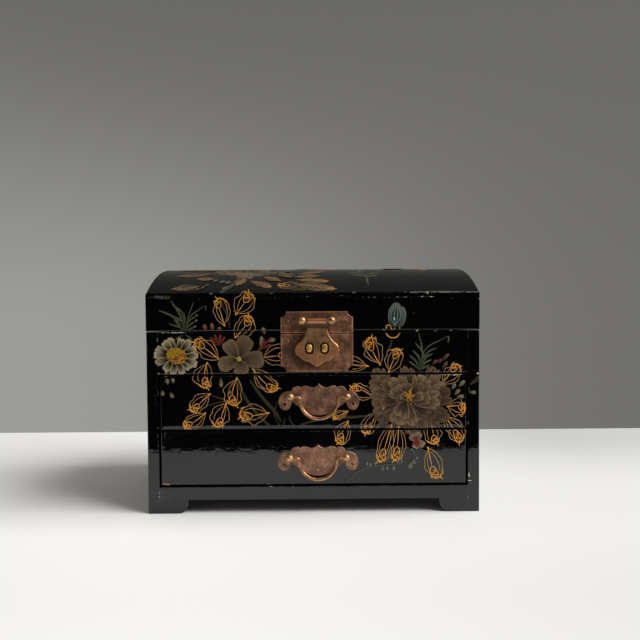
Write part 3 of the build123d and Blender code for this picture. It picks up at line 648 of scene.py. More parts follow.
def petal(
    strokes, root, tip, width, tones, lobes, ruffle, streaks, blunt=0.8, pear=0.55,
    deep=1.9, border=0.03, steps=(9, 33),
):
    """One petal as a fan of rays from its root. u runs from 0 at the root to 1 at the rim, and v from -1
    to 1 round the rim, an egg: s = (1 + cos(pi v)^blunt) / 2 from root to tip, and
    sin(pi v)^blunt (1 - pear + pear s) across. Notches of depth 2.2 `ruffle` between `lobes` scallops
    break it. tones: base, body, rim and outline. The base tone is 1.1 - deep u strong, `streaks` is how
    strong the rays of the brush are, and the outline takes the last `border` of the way."""
    base_tone, body_tone, rim_tone, line_tone = tones
    root, axis, aside = axes_of(root, tip)
    v = np.linspace(-1, 1, steps[1])
    u = np.concatenate([np.linspace(0, 1 - border, steps[0] - 2), [1 - 0.8 * border, 1.0]])
    s = (1 + kept_sign(np.cos(np.pi * v), blunt)) / 2
    half = width / 2 * kept_sign(np.sin(np.pi * v), blunt) * (1 - pear + pear * s) / (1 - 0.42 * pear)
    phase = hand.uniform(0, 2 * np.pi)
    notch = (1 - np.abs(np.sin(lobes * np.pi * v + phase))) ** 2
    wave = 1 + ruffle * (0.5 * np.sin(0.6 * lobes * np.pi * v) - 2.2 * notch) * s
    rim_line = (axis * s[:, None] + aside * half[:, None]) * wave[:, None]
    places = root + u[:, None, None] * rim_line
    vein = 0.7 * np.sin(v * 11 * np.pi + phase) + 0.6 * np.sin(v * 23 * np.pi) + 0.3 * np.sin(v * 37 * np.pi)
    u, vein = np.broadcast_arrays(u[:, None], vein)
    dark = np.clip(1.1 - u * deep + streaks * vein * (1.2 - u) * 0.6, 0, 1)[..., None]
    pale = (np.clip((u - 0.6 - 0.12 * streaks * vein) / 0.36, 0, 1) ** 2)[..., None]
    colour = body_tone * np.clip(1 + 0.4 * streaks * vein, 0.2, 2)[..., None]
    colour = colour + (rim_tone - colour) * pale
    colour = colour + (base_tone - colour) * dark
    colour = np.where(u[..., None] > 1 - 0.9 * border, line_tone, colour * hand.uniform(0.85, 1.08))
    strokes.lay(places, 0.006 * np.sin(np.pi * u), np.clip(colour, 0.0005, 1))
    strokes.layer += layer_step


def dab(strokes, centre, size, turn, colour, rise=0.16, steps=(7, 9)):
    """A drop of paint: an oval dome, size across and along, turned by an angle."""
    shares, turns = np.linspace(0, 1, steps[0]), np.linspace(0, 2 * np.pi, steps[1])
    radius, angle = np.meshgrid(shares, turns, indexing="ij")
    flat = np.stack([size[0] / 2 * radius * np.cos(angle), size[1] / 2 * radius * np.sin(angle)], axis=-1)
    heights = np.where(radius == 1, rim_depth, rise * np.sqrt(1.02 - radius**2))
    tint = colour * (1.1 - 0.5 * radius[..., None] ** 3)
    strokes.lay(np.asarray(centre, float) + flat @ spin(turn), heights, tint)
    strokes.layer += layer_step / 4


def seed_bud(strokes, base, tip, width, dark, light):
    """A small bud: a teardrop stroke with a paler end."""
    base, along, _ = axes_of(base, tip)
    t = np.linspace(0, 1, 9)
    widths = width * np.sqrt(np.clip(np.sin(np.pi * t**1.5), 0, 1)) + 0.15
    colour = dark + (light - dark) * t[:, None] ** 1.5
    stroke(strokes, base + along * t[:, None], widths, colour, rise=0.14)


def blade(strokes, bend, tip, width, root, colour=tone(80, 88, 60), dark=tone(34, 42, 28)):
    """A blade of grass: a curved stroke, dark and thin at its root, that swells towards its tip."""
    path = curve(root, bend, tip, steps=20)
    t = np.linspace(0, 1, 20)
    widths = width * (0.2 + 0.66 * np.sin(np.pi * np.clip(t, 0, 1) ** 1.3) ** 0.8)
    shade = dark + (colour - dark) * np.clip(t * 1.5, 0, 1)[:, None]
    stroke(strokes, path, widths, shade, rise=0.07)


def stem(strokes, knots, width, colour=tone(52, 47, 16)):
    """A stem through a few points, olive unless another colour is given."""
    path = curve(*knots)
    stroke(strokes, path, width * taper(len(path), 0.5, 0.3), colour, rise=0.05)


def each(draw, strokes, rows, *more, **named):
    """Draws a petal, bud, blade or leaf for every row: two places as four numbers, and what else it has."""
    for x0, z0, x1, z1, *rest in rows:
        draw(strokes, (x0, z0), (x1, z1), *rest, *more, **named)


# Tones of the petals: base, body, rim and outline
cream = (tone(4, 26, 22), tone(130, 120, 90), tone(210, 188, 150), tone(6, 6, 5))
mauve = (tone(34, 24, 15), tone(98, 78, 55), tone(128, 105, 78), tone(18, 14, 9))
peony_pale = (tone(16, 10, 6), tone(86, 65, 43), tone(140, 115, 84), tone(12, 8, 5))
peony_mid = (tone(13, 8, 5), tone(70, 52, 34), tone(116, 92, 65), tone(10, 7, 4))
peony_deep = (tone(9, 6, 4), tone(54, 39, 25), tone(94, 73, 50), tone(8, 6, 4))
pale_green = tone(134, 128, 94)
red_brown = tone(92, 20, 9)
rose = tone(120, 48, 30)

# Shapes of the petals, as petal() takes them
daisy_petal = dict(lobes=2, ruffle=0.05, streaks=0.5, blunt=0.66, pear=0.42, deep=1.6, border=0.06)
daisy_petal["steps"] = (9, 49)
mauve_petal = dict(lobes=2, ruffle=0.03, streaks=0.45, blunt=0.85, pear=0.5, deep=2.1, border=0.035)
peony_petal = dict(streaks=1.15, blunt=0.7, pear=0.62, border=0.022, steps=(14, 97))


def daisy(strokes):
    """A daisy: a ring of cream petals, dark green at their roots, round a tilted eye of golden dots. Dot i
    of n stands sqrt(i / n) of the way out, turned by i golden angles."""
    centre, eye, tilt = np.array([-124.8, 145.4]), np.array([9.4, 7.5]), -0.3
    count, reach, petal_width = 14, [21.4, 18.0], 6.9
    dots, golden_angle, dot_size, eye_rise = 150, 2.39996, (1.2, 1.2), 0.1
    for i in hand.permutation(count):
        turn = 2 * np.pi * (i + 0.2 * hand.uniform(-1, 1)) / count
        tip = centre + way(turn) * reach * hand.uniform(0.94, 1.05)
        width = petal_width * hand.uniform(0.92, 1.04)
        petal(strokes, centre + 0.72 * eye * way(turn), tip, width, cream, **daisy_petal)
        for swerve in (-0.12, 0.0, 0.13):
            bent = way(turn + swerve)
            end = centre + bent * [hand.uniform(13.0, 17.5), hand.uniform(12.0, 15.0)]
            streak = curve(centre + 0.85 * eye * bent, end, steps=6)
            stroke(strokes, streak, np.linspace(2.1, 0.3, 6), tone(2, 26, 22), rise=0.01)
    strokes.layer += layer_step
    dab(strokes, centre, 2 * eye, tilt, tone(130, 92, 12), rise=eye_rise, steps=(9, 25))
    strokes.layer += eye_rise
    for i in range(dots):
        out = np.sqrt(i / dots)
        spot = centre + (out * eye * way(golden_angle * i)) @ spin(tilt)
        side, up = (spot - centre) / eye
        if out > 0.9:
            shade = tone(240, 150, 36)
        elif up - 0.4 * side < -0.1:
            shade = tone(248, 186, 80) if hand.uniform() < 0.4 else tone(150, 58, 12)
        else:
            shade = tone(206, 164, 22)
        dab(strokes, spot, dot_size, 0.0, shade * hand.uniform(0.6, 1.15), rise=0.14, steps=(3, 7))


def five_petal_flower(strokes):
    """A flower of five broad mauve petals round a small yellow eye."""
    rows = (-66.0, 142.0, -44.0, 141.0, 16.5), (-67.5, 144.0, -59.5, 163.5, 16.0)
    rows += (-69.5, 143.5, -79.5, 159.5, 13.5), (-69.0, 142.0, -87.0, 135.0, 14.5)
    rows += (-67.5, 141.0, -64.5, 127.0, 14.0),
    each(petal, strokes, rows, mauve, **mauve_petal)
    anthers = 9
    for _ in range(anthers):
        turn = hand.uniform(0, 2 * np.pi)
        spot = np.array([-67.7, 142.6]) + hand.uniform(0, 2.2) * way(turn)
        dab(strokes, spot, (2.2, 1.8), turn, tone(178, 164, 36))


# The petals of the peony: root, tip, width and tones
peony_petals = (
    # the back row, behind the joint above the drawer
    (66, 109, 58, 133.5, 14, peony_mid),
    (86, 109, 86, 135, 13.5, peony_mid),
    (105, 109, 111.5, 134, 14, peony_mid),
    # upper petals
    (78, 110, 53, 124, 19, peony_mid),
    (96, 104, 120, 122, 20, peony_pale),
    (84, 106, 74.5, 126, 17, peony_pale),
    (95, 103, 101, 126.5, 17, peony_pale),
    # far sides
    (70, 107, 52, 111.5, 12, peony_pale),
    (104, 101, 127, 109.5, 16, peony_deep),
    (103, 100, 121, 83, 17, peony_deep),
    # lower petals
    (85, 101, 93, 69.5, 15, peony_mid),
    (78, 103, 57, 85, 18, peony_deep),
    (79, 104, 53, 98.5, 20, peony_mid),
    (89, 101, 101, 75.5, 20, peony_mid),
    (84, 101, 71, 81.5, 13, peony_deep),
    (84, 102, 82, 79.5, 25, peony_pale),
    (92, 101, 114, 88.5, 18, peony_deep),
    (91, 102, 117, 104.5, 17, peony_pale),
    # the bowl round the eye
    (87, 104, 98.5, 116, 13, peony_deep),
    (88, 103, 101.5, 108.5, 8, peony_pale),
    (85, 104, 70.5, 113.5, 12, peony_pale),
    (86, 104, 75, 105.5, 8, peony_mid),
    (86.5, 104.5, 79.5, 108, 6.5, peony_pale),
)


def peony(strokes, place=lambda x, z: (x, z), outline=None):
    """A full peony of ruffled petals, laid from the outside in, each broad one with a shorter fold on it;
    outline replaces their dark outlines."""
    anthers, widest_plain = 34, 14
    for x0, z0, x1, z1, width, tones in peony_petals:
        tones = tones if outline is None else (*(shade * 1.1 for shade in tones[:3]), outline)
        root, tip = np.array(place(x0, z0)), np.array(place(x1, z1))
        shape = dict(peony_petal, lobes=4 + int(hand.integers(0, 3)))
        shape["deep"] = 1.5 if width > 10 else 1.9
        shape["ruffle"] = 0.03 if width < 10 else 0.065
        petal(strokes, root, tip, width, tones, **shape)
        if width > widest_plain:
            turn = hand.choice([-1, 1]) * hand.uniform(0.1, 0.24)
            fold = root + (tip - root) @ spin(turn) * hand.uniform(0.62, 0.8)
            petal(strokes, root, fold, width * hand.uniform(0.5, 0.66), tones, **shape)
    for _ in range(anthers):
        spot = np.array([87.5, 108.0]) + hand.standard_normal(2) * [2.4, 2.8]
        turn = hand.uniform(0, 3)
        dab(strokes, place(*spot), (2.4, 1.5), turn, tone(186, 132, 24) * hand.uniform(0.5, 1.1))
    petal(strokes, place(87, 111), place(88, 119), 7, peony_pale, 2, 0.03, 0.2)


def paint_stems(colours):
    """The stems, in olive, dark olive and grey-green: width and the points that each runs through."""
    for width, *knots in (
        (3.2, (-73.5, 132), (-66, 113), (-52, 92), (-33.5, 74.5)),
        (3.6, (-58, 122.5), (-47, 107), (-35, 93), (-30, 84)),
        (1.8, (-94, 109), (-80, 104.5), (-67.5, 101.5)),
        (1.4, (-99, 99), (-84, 103), (-70, 104)),
        (3.0, (-12, 81.5), (14, 88), (35, 88), (52.5, 89.5)),
        (3.6, (144, 117.5), (149, 121), (152, 125)),
        (2.6, (72, 158.5), (70.5, 153), (67.5, 147)),
    ):
        stem(colours, knots, width)
    stem(colours, ((-84.5, 196.4), (-82, 190), (-78, 182), (-76, 170)), 2.2, tone(44, 46, 26))
    for knots in (
        ((-33, 104), (-36, 92), (-33.5, 84)),
        ((-33.5, 84), (-29, 80), (-26, 88)),
        ((-22, 90), (-21, 84), (-16, 80)),
    ):
        stem(colours, knots, 1.0, tone(46, 54, 38))


def paint_grasses(colours):
    """The tufts left and right. A blade has its bend, its tip and its width; most share a root."""
    root = (-118, 167.0)
    rows = (-126, 180, -140.5, 187, 2.6), (-121, 182, -129.5, 196, 2.4), (-120, 177, -132, 183, 2.2)
    rows += (-121, 171, -132, 175, 1.8), (-119, 184, -128, 192, 1.9), (-113, 183, -108.5, 195, 1.1)
    rows += (-112, 181, -98.5, 191, 1.4), (-122, 173, -127, 179, 2.0), (-117, 178, -117.5, 185, 1.6)
    each(blade, colours, rows, root)
    blade(colours, (-97.6, 190), (-98, 186.5), 1.2, (-98.8, 191.3))
    rows = (-113, 177, -106, 182, 1.5), (-113, 173, -106.5, 177.5, 1.5), (-112, 170, -107, 172, 1.5)
    each(blade, colours, rows, root)
    for tip in ((-106, 182.4), (-106.5, 177.5), (-107.5, 172)):
        dab(colours, tip, (2.0, 2.0), 0.0, tone(104, 122, 100))
    blade(colours, (-123, 162), (-126, 160), 2.2, (-118, 164.5))
    blade(colours, (-113, 162), (-110, 158), 2.4, (-117, 165))

    root = (97.0, 130.5)
    rows = (100, 148, 96.5, 165, 1.5), (101, 145, 93.5, 156, 2.4), (97, 142, 91, 149, 2.2)
    rows += (94, 139, 88, 144.5, 2.0), (93, 135, 87.5, 139, 1.9), (103, 150, 120, 160, 1.3)
    each(blade, colours, rows, root)
    blade(colours, (124, 161), (123.5, 155.5), 1.9, (119, 160))
    rows = (104, 146, 113.5, 151.5, 1.7), (103, 142, 109.5, 146, 2.0), (102, 137, 108.5, 140.5, 2.4)
    rows += (101, 133, 107, 135.5, 2.4),
    each(blade, colours, rows, root)


def paint_buds(colours):
    """The buds of the upper half, brown, red and pale green."""
    rows = (109, 136, 113.5, 140), (114, 137, 117.5, 141), (117, 138.5, 124.5, 146), (118, 132, 123, 138.5)
    each(seed_bud, colours, rows, 3.0, tone(56, 36, 26), tone(124, 80, 62))
    rows = (-97.5, 167, -99.5, 174), (-91.5, 167, -92.5, 175), (-85.5, 167.5, -85.5, 171.5)
    each(seed_bud, colours, rows, 3.4, red_brown, tone(160, 104, 78))
    rows = (-88, 154, -94, 162.5, 2.6), (-87, 155, -90, 165, 2.5), (-86.5, 154, -84.5, 165, 2.5)
    rows += (-86, 154, -80.5, 163, 2.3), (-52, 148, -46, 154, 3.0), (-48, 152, -42, 158.5, 2.6)
    rows += (-43, 156.5, -37.5, 162, 2.4), (-46.5, 151.5, -38.5, 155.5, 2.4), (-46, 155, -45, 161, 2.2)
    each(seed_bud, colours, rows, red_brown, rose)
    rows = (-42, 158, -34.5, 160), (-44, 164.5, -46, 171), (-48, 152, -47, 163)
    each(seed_bud, colours, rows, 3.4, tone(110, 84, 60), pale_green)


def paint_drawer_buds(colours):
    """The small buds on and above the drawers, in pale green and dusky pink."""
    rows = (-133, 119, -133.5, 124.5), (-128, 120.5, -128.3, 125.0), (-138, 114, -137.5, 109)
    rows += (-131, 112, -128.3, 107.0), (-84.5, 125, -84.2, 116.5), (-77.5, 114, -76, 110)
    rows += (127, 113, 130, 118.5), (133, 115.5, 138.5, 121), (129.5, 108, 134, 113)
    rows += (131.5, 106.5, 138, 106.5), (143, 110.5, 149, 110), (-131.5, 129.5, -136, 127.5)
    each(seed_bud, colours, rows, 3.4, tone(88, 88, 62), pale_green)
    rows = (48, 84, 46.5, 78.5), (52, 84, 51.5, 78.5), (66, 99, 63, 95)
    each(seed_bud, colours, rows, 2.6, tone(96, 60, 46), tone(168, 148, 126))


def paint_seed_pod(colours):
    """The ribbed grey-green pod to the right of the lock."""
    grey = (tone(36, 42, 38), tone(84, 88, 82), tone(128, 130, 122), tone(50, 52, 50))
    teal = (tone(6, 28, 34), tone(30, 60, 60), tone(106, 116, 102), tone(60, 72, 70))
    petal(colours, (78.5, 170.5), (80.5, 190.0), 11.5, grey, 3, 0.03, 0.3, 0.9, 0.2)
    petal(colours, (74.5, 170.0), (76.5, 193.0), 14.0, teal, 2, 0.02, 0.35, 0.95, 0.0)
    for bend in (-4.6, -1.5, 1.8, 4.6):
        ray = curve((74.6, 171.5), (75.5 + bend, 180), (76.3 + bend * 0.4, 190), steps=10)
        stroke(colours, ray, 0.5, tone(150, 160, 150), rise=0.02)
    dab(colours, (74.2, 178.0), (1.7, 3.2), 0.0, tone(214, 224, 220))


def paint_low_sprig(colours):
    """The small flower with red buds on the lower drawer, and the grey sprig beside it."""
    flower = (tone(58, 34, 24), tone(120, 98, 76), tone(160, 142, 118), tone(40, 28, 20))
    rows = (95, 66, 97, 74.0), (95, 66, 88.5, 71), (95, 66, 93, 58.5), (95, 66, 101.5, 61)
    each(petal, colours, rows, 6.5, flower, 3, 0.05, 0.3)
    rows = (97, 66, 90.5, 62.5), (97, 68, 91, 69), (96.5, 65, 94.5, 60)
    each(seed_bud, colours, rows, 3.4, tone(92, 26, 18), tone(150, 46, 32))
    pale, dark = tone(124, 128, 114), tone(84, 88, 78)
    stem(colours, ((28, 28), (40.5, 38), (51.5, 42.2), (62.4, 43.8), (74, 44.6), (90, 48)), 1.2, dark)
    stem(colours, ((87, 57), (91, 58), (92.5, 51.5)), 1.4, dark)
    rows = (49.4, 42.4, 48.8, 47, 2.2), (52.3, 42, 51.8, 45.6, 2.2), (56.6, 42.6, 56.2, 46.6, 2.0)
    rows += (63, 43.5, 63.2, 38.8, 2.3), (67, 43.5, 67.3, 38.8, 2.4), (73, 44, 73.5, 38.8, 2.6)
    rows += (77.8, 44.5, 77.2, 48, 1.8), (81, 45.5, 80.2, 49.5, 1.8), (90, 47, 87.9, 40.6, 4.6)
    rows += (91, 49.4, 92.6, 44.6, 3.2), (93, 49, 96, 50.5, 2.6)
    each(seed_bud, colours, rows, dark, pale)


def paint_gold_leaves(lines):
    """The gold leaves of the front: base, tip and width. The seed pod gets its gold hooks here too."""
    rows = (-81, 173, -85.5, 198.5, 15.0), (-70, 183, -56, 202.5, 18.0), (-71, 162, -56.5, 181.5, 18.0)
    rows += (-86, 142, -108.5, 160, 16.5), (-97, 138.5, -99, 115.0, 16.5), (-95, 110, -112.5, 94.0, 14.5)
    rows += (-99.5, 92.5, -119.5, 80.5, 14.5), (-80, 101, -89.5, 79.5, 16.5), (-70, 124.5, -72.5, 98.5, 16.5)
    rows += (-55, 132.5, -33, 113.0, 15.5), (-41.5, 92.5, -68.5, 91.0, 19.0), (-46, 143, -22, 147, 18.5)
    rows += (49.5, 135, 22, 139.5, 14.0), (61, 136.5, 51, 161.5, 17.5), (69, 129.5, 78.5, 151, 15.5)
    rows += (117.5, 118.5, 133.5, 136, 15.0), (55, 106.5, 33, 114, 15.5), (123, 97, 139.5, 93, 17.5)
    rows += (58, 92.5, 45, 73, 14.5), (72, 81.5, 60.5, 45.5, 14.0), (78, 80.5, 75.5, 46.5, 15.5)
    rows += (107.5, 85, 111, 62, 16.0), (120.5, 88.5, 136, 64, 15.5), (105, 59, 114.5, 30.5, 17.0)
    rows += (31.5, 84, 24, 62.5, 15.5), (31, 93.5, 17.5, 87, 7.5)
    each(gold_leaf, lines, rows)
    middle = 73
    hooks = ((0.8, 168), (3, 172), (6, 171.5), (6, 168.8)), ((0, 160.5), (3.5, 161.5), (6.5, 165))
    for side in (-1, 1):
        for hook in hooks:
            gold_line(lines, curve(*((middle + side * out, up) for out, up in hook)), 0.9)


def paint_front(lines, colours):
    """The spray that crosses the lid, frieze and drawers. Places are (across, up) on the front."""
    paint_stems(colours)
    paint_grasses(colours)
    paint_buds(colours)
    daisy(colours)
    five_petal_flower(colours)
    peony(colours)
    paint_drawer_buds(colours)
    paint_seed_pod(colours)
    paint_low_sprig(colours)
    paint_gold_leaves(lines)


umber = tone(70, 50, 28)
rust = (tone(40, 14, 8), tone(104, 44, 28), tone(150, 84, 56), tone(176, 122, 60))
umber_petal = dict(lobes=5, ruffle=0.035, streaks=0.6, blunt=1.3, pear=0.15, deep=1.3, border=0.09)
umber_petal["steps"] = (12, 65)


def umber_leaf(strokes, base, tip, width, glow):
    """A pointed brown leaf, dark at its base, with a rolled amber rim, a gold rib and side veins that
    sweep towards its tip. Side vein t starts at the share t of the way along the rib and ends 0.2 of the
    way further on, at 0.8 sin(pi (t + 0.14)) of the half width. glow is how full the gold is."""
    tones = (tone(8, 8, 6), tone(26, 21, 13), tone(104, 74, 40), tone(176, 134, 80))
    tones = [shade * (0.45 + 0.55 * glow) for shade in tones]
    petal(strokes, base, tip, width * 1.1, tones, **umber_petal)
    base, along, aside = axes_of(base, tip)
    aside = aside * width / 2
    gold_line(strokes, curve(base, base + 0.5 * along + 0.12 * aside, tip), 0.8, glow + 0.1)
    for t in (0.16, 0.32, 0.48, 0.64):
        for side in (-1, 1):
            start = base + t * along
            end = start + 0.2 * along + side * aside * 0.8 * np.sin(np.pi * (t + 0.14))
            gold_line(strokes, curve(start, (start + end) / 2 - 0.03 * along, end, steps=8), 0.6, glow - 0.2)
    hook = curve(tip - 0.1 * along, tip, tip + 0.08 * along + 0.2 * aside, steps=8)
    gold_line(strokes, hook, 0.9, glow + 0.1)


def paint_dome(lines, colours):
    """The spray on top. Places are (across, distance up the curve from its front edge)."""
    stem(colours, ((-84.5, 0), (-80, 9), (-74, 20), (-70, 44)), 4.6, tone(62, 62, 38))
    blade(colours, (-80, 12), (-84, 9), 3.0, (-76, 16), tone(120, 126, 90))
    blade(colours, (-80, 24), (-86, 28), 3.0, (-73, 22), tone(100, 100, 72))
    stem(colours, ((52, 16), (51.5, 26), (52, 36), (50, 52)), 2.2, tone(72, 74, 48))
    for root, bend, tip in (
        ((52, 36), (57, 41), (63, 42)), ((52, 38), (47, 43), (40, 44)), ((51, 44), (58, 50), (66, 52)),
        ((51, 46), (44, 52), (34, 53)), ((50, 50), (47, 60), (45, 70)),
    ):
        blade(colours, bend, tip, 3.4, root, tone(112, 108, 72), tone(60, 60, 36))

    def on_top(x, z):
        """A place of the front's peony moved to the dome, where it is narrower across and longer."""
        return -68 + (x - 88) * 0.84, 72 + (z - 104) * 1.15

    peony(colours, on_top, tone(178, 152, 114))
    rows = (-98, 50, -130, 42, 15, 0.1), (-92, 70, -136, 78, 17, 0.3), (-94, 32, -110, 33, 11, 0.3)
    rows += (-105, 13, -129, 8.5, 12, 0.1), (-18, 18, 18, 6, 14, 0.6), (-16, 28, 12, 24, 11, 0.6)
    rows += (-18, 36, 5, 41, 12, 0.4), (-14, 46, 10, 58, 11, 0.3), (-98, 100, -126, 124, 15, 0.3)
    rows += (-20, 96, 16, 106, 15, 0.3), (-64, 32, -71, 16, 9, 0.6), (-59, 25, -40, 12, 10, 0.6)
    rows += (-48, 38, -32, 26, 10, 0.5), (-20, 34, -31, 52, 14, 0.2)
    each(umber_leaf, colours, rows)
    stem(colours, ((-112, 3), (-104, 8), (-97, 19)), 1.2, tone(70, 46, 34))
    rows = (-109, 5, -105, 9), (-104, 8, -101, 12), (-100, 13, -98, 18)
    each(seed_bud, colours, rows, 2.6, tone(92, 30, 22), tone(140, 96, 76))
    rows = (-90, 30, -94, 25, 4.5), (-84, 28, -87, 21, 4.5), (-80, 27, -80, 19, 4.5)
    rows += (-26, 52, -34, 58, 5.0), (-24, 56, -28, 66, 5.0)
    each(seed_bud, colours, rows, tone(60, 66, 52), tone(126, 124, 104))
    flower, petals = (84, 92), 5
    for i in range(petals):
        tip = np.array(flower) + way(2 * np.pi * i / petals + 0.4) * [13, 14]
        petal(colours, flower, tip, 13, rust, 4, 0.05, 0.4)
    dab(colours, flower, (4.0, 4.0), 0.0, tone(186, 140, 40))
    rows = (-3, 6, -33, 17, 17.0), (-2, 17, 20, 6, 9.0), (0, 29, 14, 24, 8.0), (-57, 26, -39, 12, 10.0)
    rows += (-60, 124, -54, 150, 16.0), (-24, 114, -2, 134, 16.0), (-8, 74, 20, 80, 14.0)
    rows += (68, 98, 44, 108, 12.0), (74, 112, 62, 132, 13.0), (100, 104, 122, 116, 13.0)
    rows += (98, 80, 116, 68, 12.0),
    each(gold_leaf, lines, rows, 1.15, umber)
    # The dome's paint is dimmed as painted shade and greyed by a painted sheen.
    painted_sheen, flowers_kept, gold_kept = tone(41, 39, 36), 0.58, 0.31
    colours.fade(flowers_kept, painted_sheen)
    lines.fade(gold_kept, painted_sheen)


# Panels that carry the painting: where they begin and end, their rounded edges and their bodies


def flat_face(x, height, radii, low, high):
    """Depth of a flat panel's face where its edges are rounded: the drop at a distance d inside an edge of
    radius r is r - sqrt(r^2 - (r - d)^2)."""
    drop = np.zeros_like(x)
    distances = (x - low[0], high[0] - x, height - low[1], high[1] - height)
    for distance, radius in zip(distances, radii):
        if radius:
            inside = np.clip(radius - distance, 0, radius * 0.98)
            drop = np.maximum(drop, radius - np.sqrt(radius**2 - inside**2))
    return drop


def on_front(places, heights, low, high, radii):
    """Places on a flat panel, with the heights in front of its face."""
    drop = flat_face(places[:, 0], places[:, 1], radii, low, high)
    return np.stack([places[:, 0], front + drop - heights, places[:, 1]], axis=1)


def on_dome(places, heights, *_):
    """The arc from front to back: the angle from upright is the dome's reach less the distance over the
    radius."""
    angle = dome_reach - places[:, 1] / dome_radius
    radius = dome_radius + heights
    depth = dome_middle - radius * np.sin(angle)
    return np.stack([places[:, 0], depth, dome_centre + radius * np.cos(angle)], axis=1)


def panel_box(node):
    """A front panel's lowest and highest corners as (across, up)."""
    return [corner[[0, 2]] for corner in block(node)]


def painted_piece(name, strokes, body, material, low, high, radii, onto, hidden=()):
    """Cuts the strokes off at the panel's border, lays them on its face and makes them one piece."""
    places, heights, colours, faces = strokes.arrays()
    low, high = np.array(low, float), np.array(high, float)
    inside = ((places > low) & (places < high)).all(axis=1)
    for hidden_low, hidden_high in hidden:
        inside &= ~((places > hidden_low) & (places < hidden_high)).all(axis=1)
    kept = faces[inside[faces].any(axis=1)]
    if len(kept) == 0:
        return
    used, kept = np.unique(kept, return_inverse=True)
    margin = 0.05
    placed = np.clip(places[used], low + margin, high - margin)
    points = onto(placed, heights[used], low, high, radii)
    place_piece(name, points, kept.reshape(-1, 4).tolist(), material, body, colours[used])


def paint_the_box():
    flowers = ("flowers", brush_paint("flower_brush_paint", False))
    gold_leaves = ("gold_leaves", brush_paint("gold_brush_paint", True))
    lines, colours = Strokes(), Strokes()
    paint_front(lines, colours)
    board_low, board_high = (-half_width, lid_joint + 0.4), (half_width, lid_joint + 5.2)
    front_radius, drawer_radii = 1.0, (1.3,) * 4
    # Each panel's body, lowest and highest corner, and the radii of its left, right, lower and upper edge
    panels = {
        "lid_edge": ("lid", board_low, board_high, (front_radius, front_radius, 0, 1.2)),
        "lid_front": ("lid", *panel_box("lid_front_panel"), (0.3, 0.3, front_radius, 0.4)),
        "frieze": ("case", *panel_box("frieze_panel"), (0, 0, 0, front_radius)),
        "left_stile": ("case", *panel_box("side_panel_left"), (front_radius, 0, 0, 0)),
        "right_stile": ("case", *panel_box("side_panel_right"), (0, front_radius, 0, 0)),
        "upper_drawer": ("upper_drawer", *panel_box("upper_drawer_front"), drawer_radii),
        "lower_drawer": ("lower_drawer", *panel_box("lower_drawer_front"), drawer_radii),
    }
    plates = [panel_box("lid_lock_plate"), panel_box("case_lock_plate")]
    for panel, (body, *shape) in panels.items():
        for (kind, paint), strokes in ((flowers, colours), (gold_leaves, lines)):
            painted_piece(f"{panel}_{kind}", strokes, body, paint, *shape, on_front, plates)
    lift, bare_edge = 0.05, 0.5
    lines, colours = Strokes(lift), Strokes(lift)
    paint_dome(lines, colours)
    ends = (-half_width, bare_edge), (half_width, 2 * dome_reach * dome_radius - bare_edge)
    for (kind, paint), strokes in ((flowers, colours), (gold_leaves, lines)):
        painted_piece(f"dome_{kind}", strokes, "lid", paint, *ends, None, on_dome)


def staple_heads(material):
    """The bent tops of the two staples: closed ovals whose crown stands rise (1 - r^2.5)^0.5 before the
    tips, where r runs from 0 at the crown to 1 at the rim."""
    rise, sunk = 1.7, 0.2
    spacing, width, height = 13.9, 5.4, 8.0
    rings, corners, squareness = 12, 32, 0.8
    low, high = block("lock_staples")
    middle = (low + high) / 2
    around = np.arange(corners) * 2 * np.pi / corners
    r, turn = np.meshgrid(np.linspace(1 / rings, 1, rings), around, indexing="ij")
    aside = r * width / 2 * kept_sign(np.cos(turn), squareness)
    up = middle[2] + r * height / 2 * kept_sign(np.sin(turn), squareness)
    depth = low[1] + sunk - (rise + sunk) * np.sqrt(np.clip(1 - r**2.5, 0, 1))
    ring = 1 + np.arange(r.size).reshape(r.shape)
    after = np.roll(ring, -1, axis=1)
    quads = np.stack([ring[:-1], after[:-1], after[1:], ring[1:]], axis=-1).reshape(-1, 4)
    fan = np.stack([0 * ring[0], after[0], ring[0]], axis=-1)
    for name, side in (("left", -1), ("right", 1)):
        x = middle[0] + side * spacing / 2
        points = np.stack([x + aside, depth, up], axis=-1).reshape(-1, 3)
        points = np.concatenate([[[x, low[1] - rise, middle[2]]], points])
        place_piece(f"{name}_staple_head", points, quads.tolist() + fan.tolist(), material, "case")


def add_object(name, data, place=(0, 0, 0), axes=None):
    """Puts a mesh, lamp or camera into the scene; axes is the matrix that turns a lamp or the camera."""
    made = bpy.data.objects.new(name, data)
    made.location = place
    if axes is not None:
        made.rotation_mode = "QUATERNION"
        made.rotation_quaternion = axes.to_quaternion()
    bpy.context.scene.collection.objects.link(made)
    return made


def place_piece(name, points, faces, material, body, paint=None):
    """A smooth piece that rides on a body; points in millimetres. paint gives each point of a relief its
    colour, and the faces of such a relief are turned outwards."""
    mesh = bpy.data.meshes.new(name)
    mesh.from_pydata((points * MM).tolist(), [], faces)
    if paint is not None:
        tint = mesh.color_attributes.new("paint", "FLOAT_COLOR", "POINT")
        shades = np.concatenate([paint, np.ones((len(paint), 1))], axis=1)
        tint.data.foreach_set("color", shades.astype(np.float32).ravel())
        mesh.validate()
    mesh.update()
    outward = (0, -1, 0.3)
    if paint is not None and sum(p.normal.dot(outward) * p.area for p in mesh.polygons) < 0:
        mesh.flip_normals()
    mesh.polygons.foreach_set("use_smooth", [True] * len(mesh.polygons))
    mesh.materials.append(material)
    piece = add_object(name, mesh)
    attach(piece, body)
    return piece


